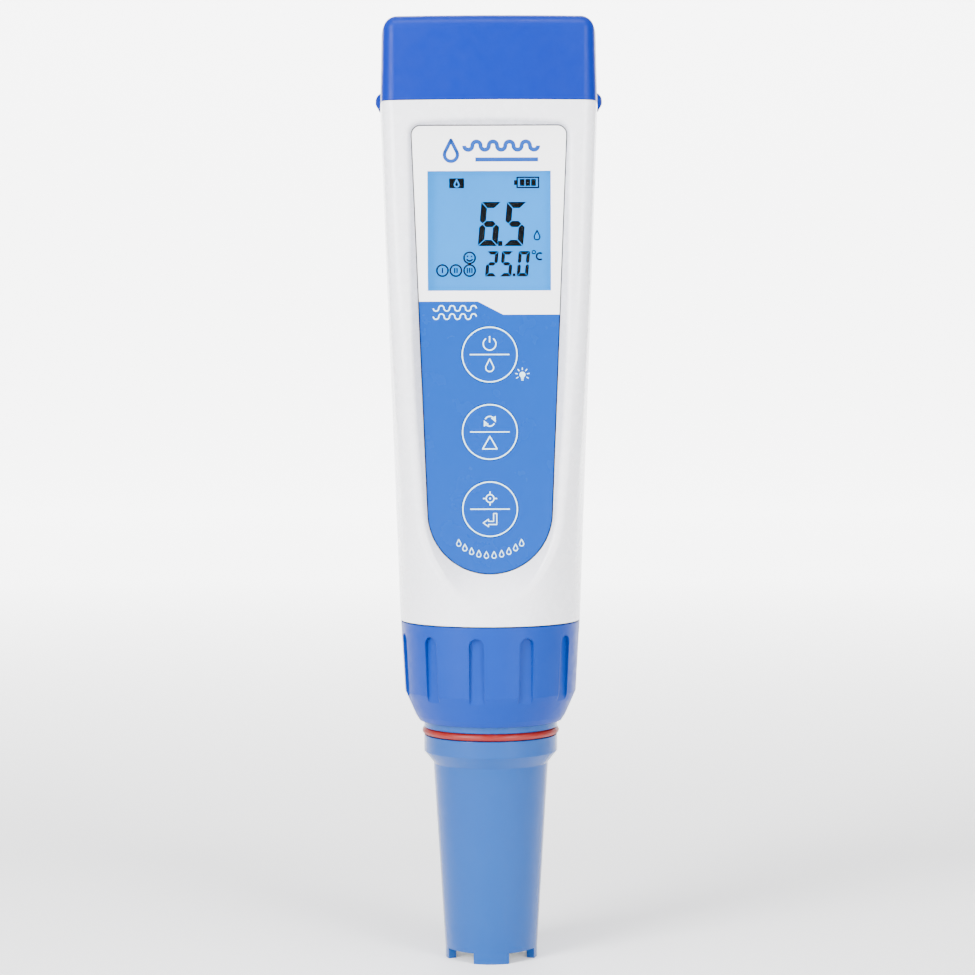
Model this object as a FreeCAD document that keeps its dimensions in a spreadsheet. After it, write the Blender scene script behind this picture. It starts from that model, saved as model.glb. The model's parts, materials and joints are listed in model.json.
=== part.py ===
import FreeCAD, Part
import math
import os

import Sketcher

# pH test pen. Millimetres, +Z up along the pen, the label faces -Y.
# The origin is the centre of the probe's tip, on the plane of the four tab ends.

V = FreeCAD.Vector
doc = FreeCAD.newDocument("ph_test_pen")
sheet = doc.addObject("Spreadsheet::Sheet", "dims")
parts = []

DIMENSIONS = {
    # probe barrel and tip
    "tab_drop": 1.95, "tab_angle": 45.0, "barrel_foot_radius": 8.6, "barrel_wall": 1.5,
    "barrel_top_radius": 10.75, "barrel_top": 36.3, "neck_radius": 12.5, "neck_foot": 38.5,
    "neck_wall": 2.0, "ring_height": 42.3, "ring_section": 0.65, "ring_stand": 0.3,
    "flange_radius": 13.6, "flange_foot": 48.9, "flange_top": 51.0,
    # plug and socket
    "plug_fit": 0.3, "plug_top": 61.2, "plug_foot": 45.0,
    "plug_ring_height": 57.0, "plug_ring_section": 0.72, "pin_radius": 0.5, "pin_top": 65.5,
    "pin_circle": 5.0, "pin_count": 4, "socket_foot": 62.5, "socket_top": 66.5,
    "socket_lip": 1.6, "socket_gap": 0.5, "contact_wall": 0.34, "pin_gap": 0.06,
    # locking collar
    "collar_foot": 44.3, "collar_bore": 12.95, "collar_lip": 0.4, "collar_chamfer": 45.3,
    "collar_chamfer_radius": 14.0, "collar_waist": 49.8, "collar_waist_radius": 16.0,
    "collar_top": 62.8, "collar_top_radius": 16.75, "shelf_top": 47.8, "counterbore": 13.8,
    "thread_bore": 14.5, "flute_count": 11, "flute_width": 2.7, "flute_depth": 6.0,
    "flute_floor": 15.8, "flute_foot": 30.0, "flute_end": 60.8, "flute_slope": 1.5,
    "flute_turn": -9.0,
    "washer_thickness": 0.95, "washer_gap": 0.05,
    # housing
    "foot": 63.0, "foot_radius": 16.8, "rim": 158.4, "rim_half_width": 20.25,
    "rim_half_depth": 18.4, "rim_corner": 2.6, "rim_crown": 150.0, "corner_fade": 4.0,
    "least_corner": 0.6,
    "wall": 1.6, "base_thickness": 2.0, "spigot_radius": 14.1, "spigot_foot": 51.1,
    "spigot_bore": 9.9, "thread_depth": 0.2, "thread_pitch": 2.4, "shelf_thickness": 1.4,
    "neck_inset": 2.0, "neck_shell": 0.95, "neck_rise": 6.6,
    # label side
    "label_lean": 2.8, "label_foot": 72.4, "label_front": 12.8, "label_round": 11.28,
    "label_length": 81.5, "label_flare": 0.0395, "label_corner": 1.7, "label_thickness": 1.2,
    "label_gap": 0.2, "seal_gap": 0.05, "seal_thickness": 0.3, "floor_thickness": 1.5, "scoop_reach": 9.0,
    "scoop_side": 0.85, "scoop_foot": 1.25, "scoop_lip": 1.3,
    # display
    "window_height": 62.5, "window_wide": 22.4, "window_tall": 21.7, "glass_wide": 25.0,
    "glass_tall": 25.5, "glass_thickness": 1.35, "light_thickness": 1.4, "light_wide": 24.0,
    "light_tall": 20.6, "frame_wall": 1.0, "zebra_tall": 1.6, "part_gap": 0.1,
    # board
    "board_gap": 2.0, "board_thickness": 1.0, "board_foot": -2.0, "board_top": 80.0,
    "board_foot_half": 10.6, "board_top_half": 14.2, "screw_radius": 0.85, "screw_head": 1.5,
    "boss_radius": 1.9, "screw_low": 1.5, "screw_low_half": 8.4, "screw_high": 78.0,
    "screw_high_half": 10.5,
    # keys
    "key_pitch": 14.11, "key_low": 11.81, "key_radius": 5.15, "key_gap": 0.08,
    "key_flange": 0.8, "key_flange_thickness": 0.5, "key_stem": 1.8, "key_travel": 0.35,
    "switch_side": 5.2, "switch_height": 1.5, "plunger_radius": 1.2,
    # power
    "cell_radius": 5.1, "cell_length": 44.5, "nub_radius": 1.9, "nub_height": 0.9,
    "cell_pitch": 10.9, "cell_row": 9.4, "cell_rise": 5.9, "bore_gap": 0.2,
    "holder_wall": 0.6, "holder_floor": 1.2, "spring_length": 5.6, "spring_radius": 3.0,
    "spring_wire": 0.35, "spring_turns": 4.0,
    # battery door
    "door_gap": 0.15, "door_thickness": 1.3, "door_inset": 3.2, "hinge_back": 13.4,
    "hinge_rise": 2.0, "knuckle_radius": 1.5, "hinge_pin_radius": 0.7, "hinge_fit": 0.06,
    "door_knuckle": 8.0, "house_knuckle": 3.0, "strip_thickness": 0.4,
    # cap
    "cap_gap": 0.08, "cap_tall": 15.6, "cap_wall": 1.5, "cap_draft": 0.35, "cap_round": 2.6,
    "cap_seal_rise": 1.6, "cap_seal_tall": 1.5, "ear_out": 1.0, "ear_wide": 5.0,
    "ear_tall": 3.2,
    # sensing parts
    "stem_radius": 4.0, "stem_wall": 0.6, "stem_foot": 1.7, "stem_top": 34.8,
    "junction_top": 6.0, "insert_gap": 0.05, "sensor_radius": 0.9, "sensor_foot": 1.1,
    "sensor_top": 14.0, "potting_foot": 31.0, "potting_top": 34.0, "wire_radius": 0.3,
    "wire_foot": 8.0, "small_board_wide": 13.0, "small_board_foot": 36.5,
    "small_board_thickness": 1.0,
}

# Places and sizes that follow from the dimensions above.
FOLLOWING = {
    "plug_radius": "spigot_bore - plug_fit",
    "socket_flat": "label_front - label_thickness - seal_thickness - floor_thickness - socket_gap",
    "neck_end": "rim + neck_rise", "cell_top": "rim + cell_rise",
    "door_foot": "rim + neck_rise + door_gap", "hinge_height": "rim + neck_rise + hinge_rise",
    "cap_top": "rim + cap_tall", "cap_seal_foot": "rim + cap_seal_rise",
}


def fill_sheet():
    """Writes every driving dimension to its own aliased cell."""
    for row, (name, value) in enumerate(DIMENSIONS.items(), start=1):
        sheet.set(f"A{row}", name)
        sheet.set(f"B{row}", str(value))
        sheet.setAlias(f"B{row}", name)
    doc.recompute()


def worked(formula):
    """Turns plain dimension names in a formula into references to the sheet.

    A following size is replaced by its own formula in brackets.
    """
    words, word = [], ""
    for letter in str(formula) + " ":
        if letter.isalnum() or letter == "_":
            word += letter
            continue
        if word in FOLLOWING:
            word = f"({worked(FOLLOWING[word])})"
        words.append("dims." + word if word in DIMENSIONS else word)
        words.append(letter)
        word = ""
    return "".join(words).strip()


def size(formula):
    """Reads a formula of dimension names as a number."""
    return float(sheet.evalExpression(worked(formula)))


def bind(obj, **formulas):
    """Binds properties of an object to formulas of dimension names."""
    for prop, formula in formulas.items():
        obj.setExpression(prop.replace("__", "."), worked(formula))
    return obj


def keep(obj, label):
    """Marks an object as one finished piece of the pen."""
    obj.Label = label
    parts.append(obj)
    return obj


# ---------------------------------------------------------------- sketches and bodies


def origin_plane(body, role):
    """Finds one of the body's own origin planes."""
    return next(item for item in body.Origin.OriginFeatures if item.Role == role)


def new_sketch(body, name, role="XZ_Plane", forward="0", lean="0"):
    """Adds a sketch on an origin plane, moved along its normal and leaned about its X."""
    sketch = body.newObject("Sketcher::SketchObject", name)
    sketch.AttachmentSupport = [(origin_plane(body, role), "")]
    sketch.MapMode = "FlatFace"
    sketch.AttachmentOffset = FreeCAD.Placement(V(0, 0, 0), FreeCAD.Rotation(V(1, 0, 0), 1))
    sketch.setExpression("AttachmentOffset.Base.z", worked(forward))
    sketch.setExpression("AttachmentOffset.Rotation.Angle", worked(lean))
    return sketch


def pin_point(sketch, geometry, point, place):
    """Fixes a point of a sketch by two formulas."""
    for kind, formula in zip(("DistanceX", "DistanceY"), place):
        rule = Sketcher.Constraint(kind, -1, 1, geometry, point, size(formula))
        index = sketch.addConstraint(rule)
        sketch.setExpression(f"Constraints[{index}]", worked(formula))


def draw_outline(sketch, corners):
    """Draws a closed straight-sided outline through corners given as formulas."""
    places = [V(size(across), size(up), 0) for across, up in corners]
    count = len(places)
    for index in range(count):
        sketch.addGeometry(Part.LineSegment(places[index], places[(index + 1) % count]), False)
    for index in range(count):
        sketch.addConstraint(Sketcher.Constraint("Coincident", index, 2, (index + 1) % count, 1))
    for index, corner in enumerate(corners):
        pin_point(sketch, index, 1, corner)


def draw_circle(sketch, across, up, radius):
    """Draws a circle whose centre and radius are formulas."""
    centre = V(size(across), size(up), 0)
    geometry = sketch.addGeometry(Part.Circle(centre, V(0, 0, 1), size(radius)), False)
    pin_point(sketch, geometry, 3, (across, up))
    index = sketch.addConstraint(Sketcher.Constraint("Radius", geometry, size(radius)))
    sketch.setExpression(f"Constraints[{index}]", worked(radius))


def new_body(name):
    """Starts an empty body."""
    return doc.addObject("PartDesign::Body", name)


def pad(body, sketch, length, back=False):
    """Pads a sketch by a formula; the front of the pen is forward."""
    feature = body.newObject("PartDesign::Pad", sketch.Name + "_pad")
    feature.Profile = sketch
    feature.Reversed = back
    bind(feature, Length=length)
    doc.recompute()
    return feature


def pocket(body, sketch, length, back=False):
    """Cuts a sketch into the body by a formula and makes sure that it removed something."""
    before = body.Shape.Volume
    feature = body.newObject("PartDesign::Pocket", sketch.Name + "_cut")
    feature.Profile = sketch
    feature.Reversed = back
    bind(feature, Length=length)
    doc.recompute()
    if body.Shape.Volume >= before:
        raise RuntimeError(f"{feature.Name} cuts nothing")
    return feature


def turned(name, corners):
    """Makes a body of revolution about Z from its half section."""
    body = new_body(name)
    sketch = new_sketch(body, name + "_section")
    draw_outline(sketch, corners)
    feature = body.newObject("PartDesign::Revolution", name + "_turn")
    feature.Profile = sketch
    feature.ReferenceAxis = (sketch, ["V_Axis"])
    feature.Angle = 360
    doc.recompute()
    return body


def ring(name, height, centre_radius, section_radius):
    """Makes a round seal ring about Z."""
    torus = doc.addObject("Part::Torus", name)
    bind(torus, Radius1=centre_radius, Radius2=section_radius, Placement__Base__z=height)
    return torus


def rod(name, radius, foot, length, across="0", back="0"):
    """Makes a plain round rod along Z."""
    cylinder = doc.addObject("Part::Cylinder", name)
    bind(cylinder, Radius=radius, Height=length, Placement__Base__x=across)
    bind(cylinder, Placement__Base__y=back, Placement__Base__z=foot)
    return cylinder


def block(name, wide, deep, tall, across, back, foot):
    """Makes a block centred on its place in X, standing on its foot and front face."""
    box = doc.addObject("Part::Box", name)
    bind(box, Length=wide, Width=deep, Height=tall)
    bind(box, Placement__Base__x=f"{across} - ({wide}) / 2")
    bind(box, Placement__Base__y=back, Placement__Base__z=foot)
    return box


def joined(name, pieces):
    """Fuses objects into one."""
    fuse = doc.addObject("Part::MultiFuse", name)
    fuse.Shapes = pieces
    fuse.Refine = True
    return fuse


def cut(name, base, tool):
    """Takes one object from another."""
    result = doc.addObject("Part::Cut", name)
    result.Base = base
    result.Tool = tool
    return result


def grouped(name, pieces):
    """Keeps separate solids together as one set."""
    group = doc.addObject("Part::Compound", name)
    group.Links = pieces
    return group


def shaped(name, shape):
    """Holds a shape that sketches and primitives can't make."""
    feature = doc.addObject("Part::Feature", name)
    feature.Shape = shape
    return feature


def polar_places(count_name, radius_name, start=0.0):
    """Places evenly round the axis, as pairs of formulas."""
    count = int(size(count_name))
    for index in range(count):
        angle = start + index * 360.0 / count
        yield f"{radius_name} * cos({angle})", f"{radius_name} * sin({angle})"


# ---------------------------------------------------------------- probe


def make_probe_barrel():
    """Tapered tube with castellated tip, neck, flange and a groove for the red ring."""
    groove_floor = "(neck_radius + ring_stand - 2 * ring_section)"
    groove_half = "(ring_section + 0.1)"
    body = turned("probe_barrel", [
        ("barrel_foot_radius - barrel_wall", "0"),
        ("barrel_foot_radius", "0"),
        ("barrel_foot_radius", "tab_drop"),
        ("barrel_top_radius", "barrel_top"),
        ("neck_radius", "neck_foot"),
        ("neck_radius", f"ring_height - {groove_half}"),
        (groove_floor, f"ring_height - {groove_half}"),
        (groove_floor, f"ring_height + {groove_half}"),
        ("neck_radius", f"ring_height + {groove_half}"),
        ("neck_radius", "flange_foot"),
        ("flange_radius", "flange_foot"),
        ("flange_radius", "flange_top"),
        ("neck_radius - neck_wall", "flange_top"),
        ("neck_radius - neck_wall", "neck_foot + 1"),
        ("barrel_top_radius - barrel_wall", "barrel_top"),
        ("barrel_foot_radius - barrel_wall", "tab_drop"),
    ])
    notch = new_sketch(body, "tip_notch")
    draw_outline(notch, [
        ("barrel_foot_radius - 2 * barrel_wall", "-1"), ("barrel_foot_radius + 1", "-1"),
        ("barrel_foot_radius + 1", "tab_drop"),
        ("barrel_foot_radius - 2 * barrel_wall", "tab_drop"),
    ])
    before = body.Shape.Volume
    groove = body.newObject("PartDesign::Groove", "tip_notch_turn")
    groove.Profile = notch
    groove.ReferenceAxis = (notch, ["V_Axis"])
    groove.Midplane = True
    bind(groove, Angle="90 - tab_angle")
    doc.recompute()
    if body.Shape.Volume >= before:
        raise RuntimeError("the tip notch cuts nothing")
    pattern = body.newObject("PartDesign::PolarPattern", "tip_notches")
    pattern.Originals = [groove]
    pattern.Axis = (notch, ["V_Axis"])
    pattern.Angle = 360
    pattern.Occurrences = 4
    body.Tip = pattern
    doc.recompute()
    body.Placement = FreeCAD.Placement(V(0, 0, 0), FreeCAD.Rotation(V(0, 0, 1), 45))
    return keep(body, "probe_barrel")


def make_probe_rings():
    """The red ring on the neck and the seal ring on the plug."""
    centre = "neck_radius + ring_stand - ring_section"
    keep(ring("probe_o_ring", "ring_height", centre, "ring_section"), "probe_o_ring")
    centre = "spigot_bore - 0.05 - plug_ring_section"
    keep(ring("plug_o_ring", "plug_ring_height", centre, "plug_ring_section"), "plug_o_ring")


def make_plug():
    """Plug that fills the neck, seals in the housing and carries the pins."""
    groove_floor = "(spigot_bore - 0.1 - 2 * plug_ring_section)"
    groove_half = "(plug_ring_section + 0.1)"
    body = turned("plug_body", [
        ("0", "plug_foot"),
        ("neck_radius - neck_wall - insert_gap", "plug_foot"),
        ("neck_radius - neck_wall - insert_gap", "flange_top"),
        ("plug_radius", "flange_top"),
        ("plug_radius", f"plug_ring_height - {groove_half}"),
        (groove_floor, f"plug_ring_height - {groove_half}"),
        (groove_floor, f"plug_ring_height + {groove_half}"),
        ("plug_radius", f"plug_ring_height + {groove_half}"),
        ("plug_radius", "plug_top - 0.8"),
        ("plug_radius - 0.8", "plug_top"),
        ("0", "plug_top"),
    ])
    holes = new_sketch(body, "pin_holes", "XY_Plane", "plug_foot")
    for across, back in polar_places("pin_count", "pin_circle", 45):
        draw_circle(holes, across, back, "pin_radius")
    pocket(body, holes, "plug_top - plug_foot", back=True)
    keep(body, "plug_body")
    pins = []
    for index, (across, back) in enumerate(polar_places("pin_count", "pin_circle", 45)):
        foot, length = "plug_foot - 1", "pin_top - plug_foot + 1"
        pins.append(rod(f"plug_pin_{index + 1}", "pin_radius", foot, length, across, back))
    keep(grouped("plug_pins", pins), "plug_pins")


def make_socket():
    """Socket in the housing's foot, with one sprung sleeve for each pin."""
    sleeve = "pin_radius + pin_gap + contact_wall"
    body = turned("probe_socket", [
        ("0", "socket_foot"),
        ("spigot_bore - insert_gap", "socket_foot"),
        ("spigot_bore - insert_gap", "foot + base_thickness"),
        ("spigot_bore + socket_lip", "foot + base_thickness"),
        ("spigot_bore + socket_lip", "socket_top"),
        ("0", "socket_top"),
    ])
    holes = new_sketch(body, "sleeve_holes", "XY_Plane", "socket_foot")
    for across, back in polar_places("pin_count", "pin_circle", 45):
        draw_circle(holes, across, back, sleeve)
    pocket(body, holes, "socket_top - socket_foot", back=True)
    # The lip is flat in front, where the label's floor passes it.
    lip = "spigot_bore + socket_lip"
    flat = new_sketch(body, "front_flat", "XY_Plane", "foot + base_thickness")
    draw_outline(flat, [(f"-({lip})", f"-({lip})"), (lip, f"-({lip})"), (lip, "-socket_flat"),
                        (f"-({lip})", "-socket_flat")])
    pocket(body, flat, "socket_top - foot - base_thickness", back=True)
    keep(body, "probe_socket")
    sleeves = []
    for index, (across, back) in enumerate(polar_places("pin_count", "pin_circle", 45)):
        tall = "socket_top - socket_foot + 1.5"
        outer = rod(f"sleeve_{index + 1}_wall", sleeve, "socket_foot", tall, across, back)
        inner = rod(f"sleeve_{index + 1}_bore", "pin_radius + pin_gap", "socket_foot", tall, across, back)
        sleeves.append(cut(f"sleeve_{index + 1}", outer, inner))
    keep(grouped("socket_contacts", sleeves), "socket_contacts")


def make_sensing_parts():
    """Glass stem with flat membrane, reference ring, thermometer and what is behind them."""
    inner = "stem_radius - stem_wall"
    glass = turned("glass_membrane", [
        ("0", "stem_foot"), ("stem_radius - 0.4", "stem_foot"),
        ("stem_radius", "stem_foot + 0.4"), ("stem_radius", "stem_top"),
        (inner, "stem_top"), (inner, "stem_foot + stem_wall"),
        ("0", "stem_foot + stem_wall"),
    ])
    keep(glass, "glass_membrane")

    bore = "barrel_foot_radius - barrel_wall - insert_gap"
    junction = turned("reference_junction", [
        ("stem_radius + insert_gap", "tab_drop"), (bore, "tab_drop"),
        (bore, "junction_top"), ("stem_radius + insert_gap", "junction_top"),
    ])
    hole = new_sketch(junction, "sensor_hole", "XY_Plane", "tab_drop")
    across = "(stem_radius + barrel_foot_radius - barrel_wall) / 2"
    draw_circle(hole, across, "0", "sensor_radius + insert_gap")
    pocket(junction, hole, "junction_top - tab_drop", back=True)
    keep(junction, "reference_junction")

    shaft = rod("sensor_shaft", "sensor_radius", "sensor_foot + sensor_radius",
                "sensor_top - sensor_foot - sensor_radius", across)
    nose = doc.addObject("Part::Sphere", "sensor_nose")
    bind(nose, Radius="sensor_radius", Placement__Base__x=across)
    bind(nose, Placement__Base__z="sensor_foot + sensor_radius")
    keep(joined("temperature_sensor", [shaft, nose]), "temperature_sensor")

    taper = "(barrel_top_radius - barrel_foot_radius) / (barrel_top - tab_drop)"
    bore = "barrel_foot_radius - barrel_wall - insert_gap"
    plug = turned("potting_plug", [
        ("stem_radius + insert_gap", "potting_foot"),
        (f"{bore} + (potting_foot - tab_drop) * {taper}", "potting_foot"),
        (f"{bore} + (potting_top - tab_drop) * {taper}", "potting_top"),
        ("stem_radius + insert_gap", "potting_top"),
    ])
    keep(plug, "potting_plug")
    wire = rod("silver_wire", "wire_radius", "wire_foot", "small_board_foot - wire_foot - 0.1")
    keep(wire, "silver_wire")
    tall = "plug_foot - 1.2 - small_board_foot"
    card = block("probe_board", "small_board_wide", "small_board_thickness", tall,
                 "0", "-small_board_thickness / 2", "small_board_foot")
    keep(card, "probe_board")


# ---------------------------------------------------------------- locking collar


def make_collar():
    """Ring that screws on the spigot and holds the probe's flange, with grip flutes."""
    body = turned("collar", [
        ("collar_bore", "collar_foot"),
        ("collar_bore + collar_lip", "collar_foot"),
        ("collar_chamfer_radius", "collar_chamfer"),
        ("collar_waist_radius", "collar_waist"),
        ("collar_top_radius", "collar_top"),
        ("thread_bore", "collar_top"),
        ("thread_bore", "spigot_foot - part_gap"),
        ("counterbore", "spigot_foot - part_gap"),
        ("counterbore", "shelf_top"),
        ("collar_bore", "shelf_top"),
    ])
    # The flute's sketch lies on its floor, which leans in towards the collar's foot.
    flute = new_sketch(body, "flute", "XZ_Plane",
                       "flute_floor - flute_end * tan(flute_slope)", "flute_slope")
    half, straight = "flute_width / 2", "flute_end - flute_width / 2"
    low, high = V(-size(half), 0, 0), V(-size(half), size(straight), 0)
    far_low, far_high = V(size(half), 0, 0), V(size(half), size(straight), 0)
    centre = V(0, size(straight), 0)
    circle = Part.Circle(centre, V(0, 0, 1), size(half))
    flute.addGeometry(Part.LineSegment(low, far_low), False)
    flute.addGeometry(Part.LineSegment(far_low, far_high), False)
    flute.addGeometry(Part.ArcOfCircle(circle, 0, math.pi), False)
    flute.addGeometry(Part.LineSegment(high, low), False)
    for first, first_end, second, second_end in ((0, 2, 1, 1), (1, 2, 2, 1), (2, 2, 3, 1), (3, 2, 0, 1)):
        flute.addConstraint(Sketcher.Constraint("Coincident", first, first_end, second, second_end))
    pin_point(flute, 0, 1, (f"-{half}", "flute_foot"))
    pin_point(flute, 0, 2, (half, "flute_foot"))
    pin_point(flute, 1, 2, (half, straight))
    pin_point(flute, 3, 1, (f"-{half}", straight))
    index = flute.addConstraint(Sketcher.Constraint("DistanceY", -1, 1, 2, 3, size(straight)))
    flute.setExpression(f"Constraints[{index}]", worked(straight))
    channel = pocket(body, flute, "flute_depth", back=True)
    pattern = body.newObject("PartDesign::PolarPattern", "flutes")
    pattern.Originals = [channel]
    pattern.Axis = (origin_line(body, "Z_Axis"), [""])
    pattern.Angle = 360
    bind(pattern, Occurrences="flute_count")
    body.Tip = pattern
    doc.recompute()
    body.Placement = FreeCAD.Placement(V(0, 0, 0), FreeCAD.Rotation(V(0, 0, 1), size("flute_turn")))
    return keep(body, "collar")


def origin_line(body, role):
    """Finds one of the body's own origin axes."""
    return next(item for item in body.Origin.OriginFeatures if item.Role == role)


def make_slip_washer():
    """Thin ring that lets the collar turn on the probe's flange."""
    low, high = "shelf_top + washer_gap", "shelf_top + washer_gap + washer_thickness"
    washer = turned("slip_washer", [
        ("collar_bore", low), ("counterbore - 0.15", low),
        ("counterbore - 0.15", high), ("collar_bore", high),
    ])
    return keep(washer, "slip_washer")


# ---------------------------------------------------------------- housing


def corner_centre(half_width, half_depth, corner, crown):
    """Centre of the corner arc that touches the two crowned sides."""
    side, front = V(half_width - crown, 0, 0), V(0, half_depth - crown, 0)
    reach = crown - corner
    middle = (side + front) * 0.5
    half_apart = (front - side).Length / 2
    away = math.sqrt(reach ** 2 - half_apart ** 2)
    across = V(-(front - side).y, (front - side).x, 0).normalize()
    if across.x < 0:
        across = across * -1
    return middle + across * away, side, front


def section_quarter(height, inset):
    """Points of one quarter of the housing's section: side, corner, front, and mid-arcs."""
    share = (height - size("foot")) / (size("rim") - size("foot"))
    fade = max(0.0, 1 - share) ** size("corner_fade")
    foot_radius = size("foot_radius")
    half_width = foot_radius + share * (size("rim_half_width") - foot_radius) - inset
    half_depth = foot_radius + share * (size("rim_half_depth") - foot_radius) - inset
    corner = size("rim_corner") + fade * (foot_radius - size("rim_corner"))
    corner = max(corner - inset, size("least_corner"))
    bend = 1 / size("rim_crown") + fade * (1 / foot_radius - 1 / size("rim_crown"))
    crown = 1 / bend - inset
    if crown - corner < 0.5:
        radius = foot_radius - inset
        angles = [0, 11.25, 22.5, 45, 67.5, 78.75, 90]
        return [V(radius * math.cos(math.radians(a)), radius * math.sin(math.radians(a)), height)
                for a in angles]
    centre, side, front = corner_centre(half_width, half_depth, corner, crown)
    to_side, to_front = (centre - side).normalize(), (centre - front).normalize()
    side_end, front_end = side + to_side * crown, front + to_front * crown
    corner_mid = centre + (to_side + to_front).normalize() * corner
    side_mid = side + (to_side + V(1, 0, 0)).normalize() * crown
    front_mid = front + (to_front + V(0, 1, 0)).normalize() * crown
    points = [V(half_width, 0, 0), side_mid, side_end, corner_mid, front_end, front_mid,
              V(0, half_depth, 0)]
    return [V(point.x, point.y, height) for point in points]


def section_wire(height, inset=0.0, lift=None):
    """Closed section of the housing at a height, moved in by a wall, of eight arcs."""
    quarter = section_quarter(height, inset)
    rise = V(0, 0, 0 if lift is None else lift - height)
    arcs = []

    def flip(point, across, back):
        return V(point.x * across, point.y * back, point.z) + rise

    for across, back in ((1, 1), (-1, 1), (-1, -1), (1, -1)):
        points = [flip(point, across, back) for point in quarter[2:5]]
        if across * back < 0:
            points.reverse()
        arcs.append(points)
    crests = [flip(quarter[6], 1, 1), flip(quarter[0], -1, 1), flip(quarter[6], 1, -1),
              flip(quarter[0], 1, 1)]
    edges = []
    for index, (start, middle, end) in enumerate(arcs):
        edges.append(Part.Arc(start, middle, end).toShape())
        following = arcs[(index + 1) % 4][0]
        edges.append(Part.Arc(end, crests[index], following).toShape())
    return Part.Wire(edges)


def housing_loft(foot, top, inset, stations=7):
    """Smooth solid between two heights of the housing's section."""
    low, high = size("foot"), size("rim")
    wires = []
    for index in range(stations):
        share = index / (stations - 1)
        # Stations gather near the foot, where the round section turns square.
        wires.append(section_wire(foot + (top - foot) * share ** 1.6, inset))
    return Part.makeLoft(wires, True, False)


def rim_prism(foot, top, inset, hollow=None):
    """Straight solid with the rim's section, or a ring of it."""
    outer = Part.Face(section_wire(size("rim"), inset, foot))
    if hollow is not None:
        outer = outer.cut(Part.Face(section_wire(size("rim"), hollow, foot)))
    return outer.extrude(V(0, 0, top - foot))


def label_frame():
    """Placement of the leaning front: X across, Y inwards, Z up the label."""
    base = V(0, -size("label_front"), size("label_foot"))
    return FreeCAD.Placement(base, FreeCAD.Rotation(V(1, 0, 0), size("label_lean")))


def label_wire(grow, inward, drop=0.0, rise=None):
    """Label outline, round at its foot, made larger by a margin, at a depth inwards."""
    rise = grow if rise is None else rise
    radius = size("label_round") + grow
    centre_up = size("label_round") - drop
    top = size("label_length") + rise
    half_top = size("label_round") + size("label_flare") * (size("label_length") - size("label_round"))
    half_top += grow
    corner = size("label_corner") + max(grow, -0.8 * size("label_corner"))
    slant = (half_top - radius) / (top - centre_up)

    def at(across, up):
        return V(across, inward, up)

    side_up = top - corner
    side = half_top - corner * slant
    bend = corner * (1 - math.sqrt(0.5))
    points = {
        "low": at(radius, centre_up), "side": at(side, side_up),
        "mid": at(half_top - bend, top - bend), "top": at(half_top - corner, top),
    }

    def mirror(point):
        return V(-point.x, point.y, point.z)

    edges = [
        Part.Arc(mirror(points["low"]), at(0, centre_up - radius), points["low"]).toShape(),
        Part.makeLine(points["low"], points["side"]),
        Part.Arc(points["side"], points["mid"], points["top"]).toShape(),
        Part.makeLine(points["top"], mirror(points["top"])),
        Part.Arc(mirror(points["top"]), mirror(points["mid"]), mirror(points["side"])).toShape(),
        Part.makeLine(mirror(points["side"]), mirror(points["low"])),
    ]
    return Part.Wire(edges)


def label_slab(grow, front, back):
    """Slab with the label's outline between two depths."""
    return Part.Face(label_wire(grow, front)).extrude(V(0, back - front, 0))


def upright(formula_radius, formula_up, front, back):
    """Round tool through the label at a height, between two depths."""
    return Part.makeCylinder(size(formula_radius), back - front, V(0, front, size(formula_up)), V(0, 1, 0))


def window_slab(wide, tall, front, back):
    """Square tool centred on the display between two depths."""
    centre = size("window_height")
    corner = V(-size(wide) / 2, front, centre - size(tall) / 2)
    return Part.makeBox(size(wide), back - front, size(tall), corner)


KEYS = {"key_calibrate": "key_low", "key_mode": "key_low + key_pitch",
        "key_measure": "key_low + 2 * key_pitch"}


def shared_edges(shape, *skins):
    """Edges of a shape that lie on every one of the given skins."""
    found = []
    for edge in shape.Edges:
        span = edge.LastParameter - edge.FirstParameter
        probes = [Part.Vertex(edge.valueAt(edge.FirstParameter + span * share)) for share in (0.1, 0.5, 0.9)]
        if all(min(face.distToShape(probe)[0] for face in skin.Faces) < 2e-3
               for probe in probes for skin in skins):
            found.append(edge)
    return found


def screw_places():
    """Screw centres on the board, as pairs of formulas."""
    for side in ("-", ""):
        yield f"{side}screw_low_half", "screw_low"
        yield f"{side}screw_high_half", "screw_high"


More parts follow.
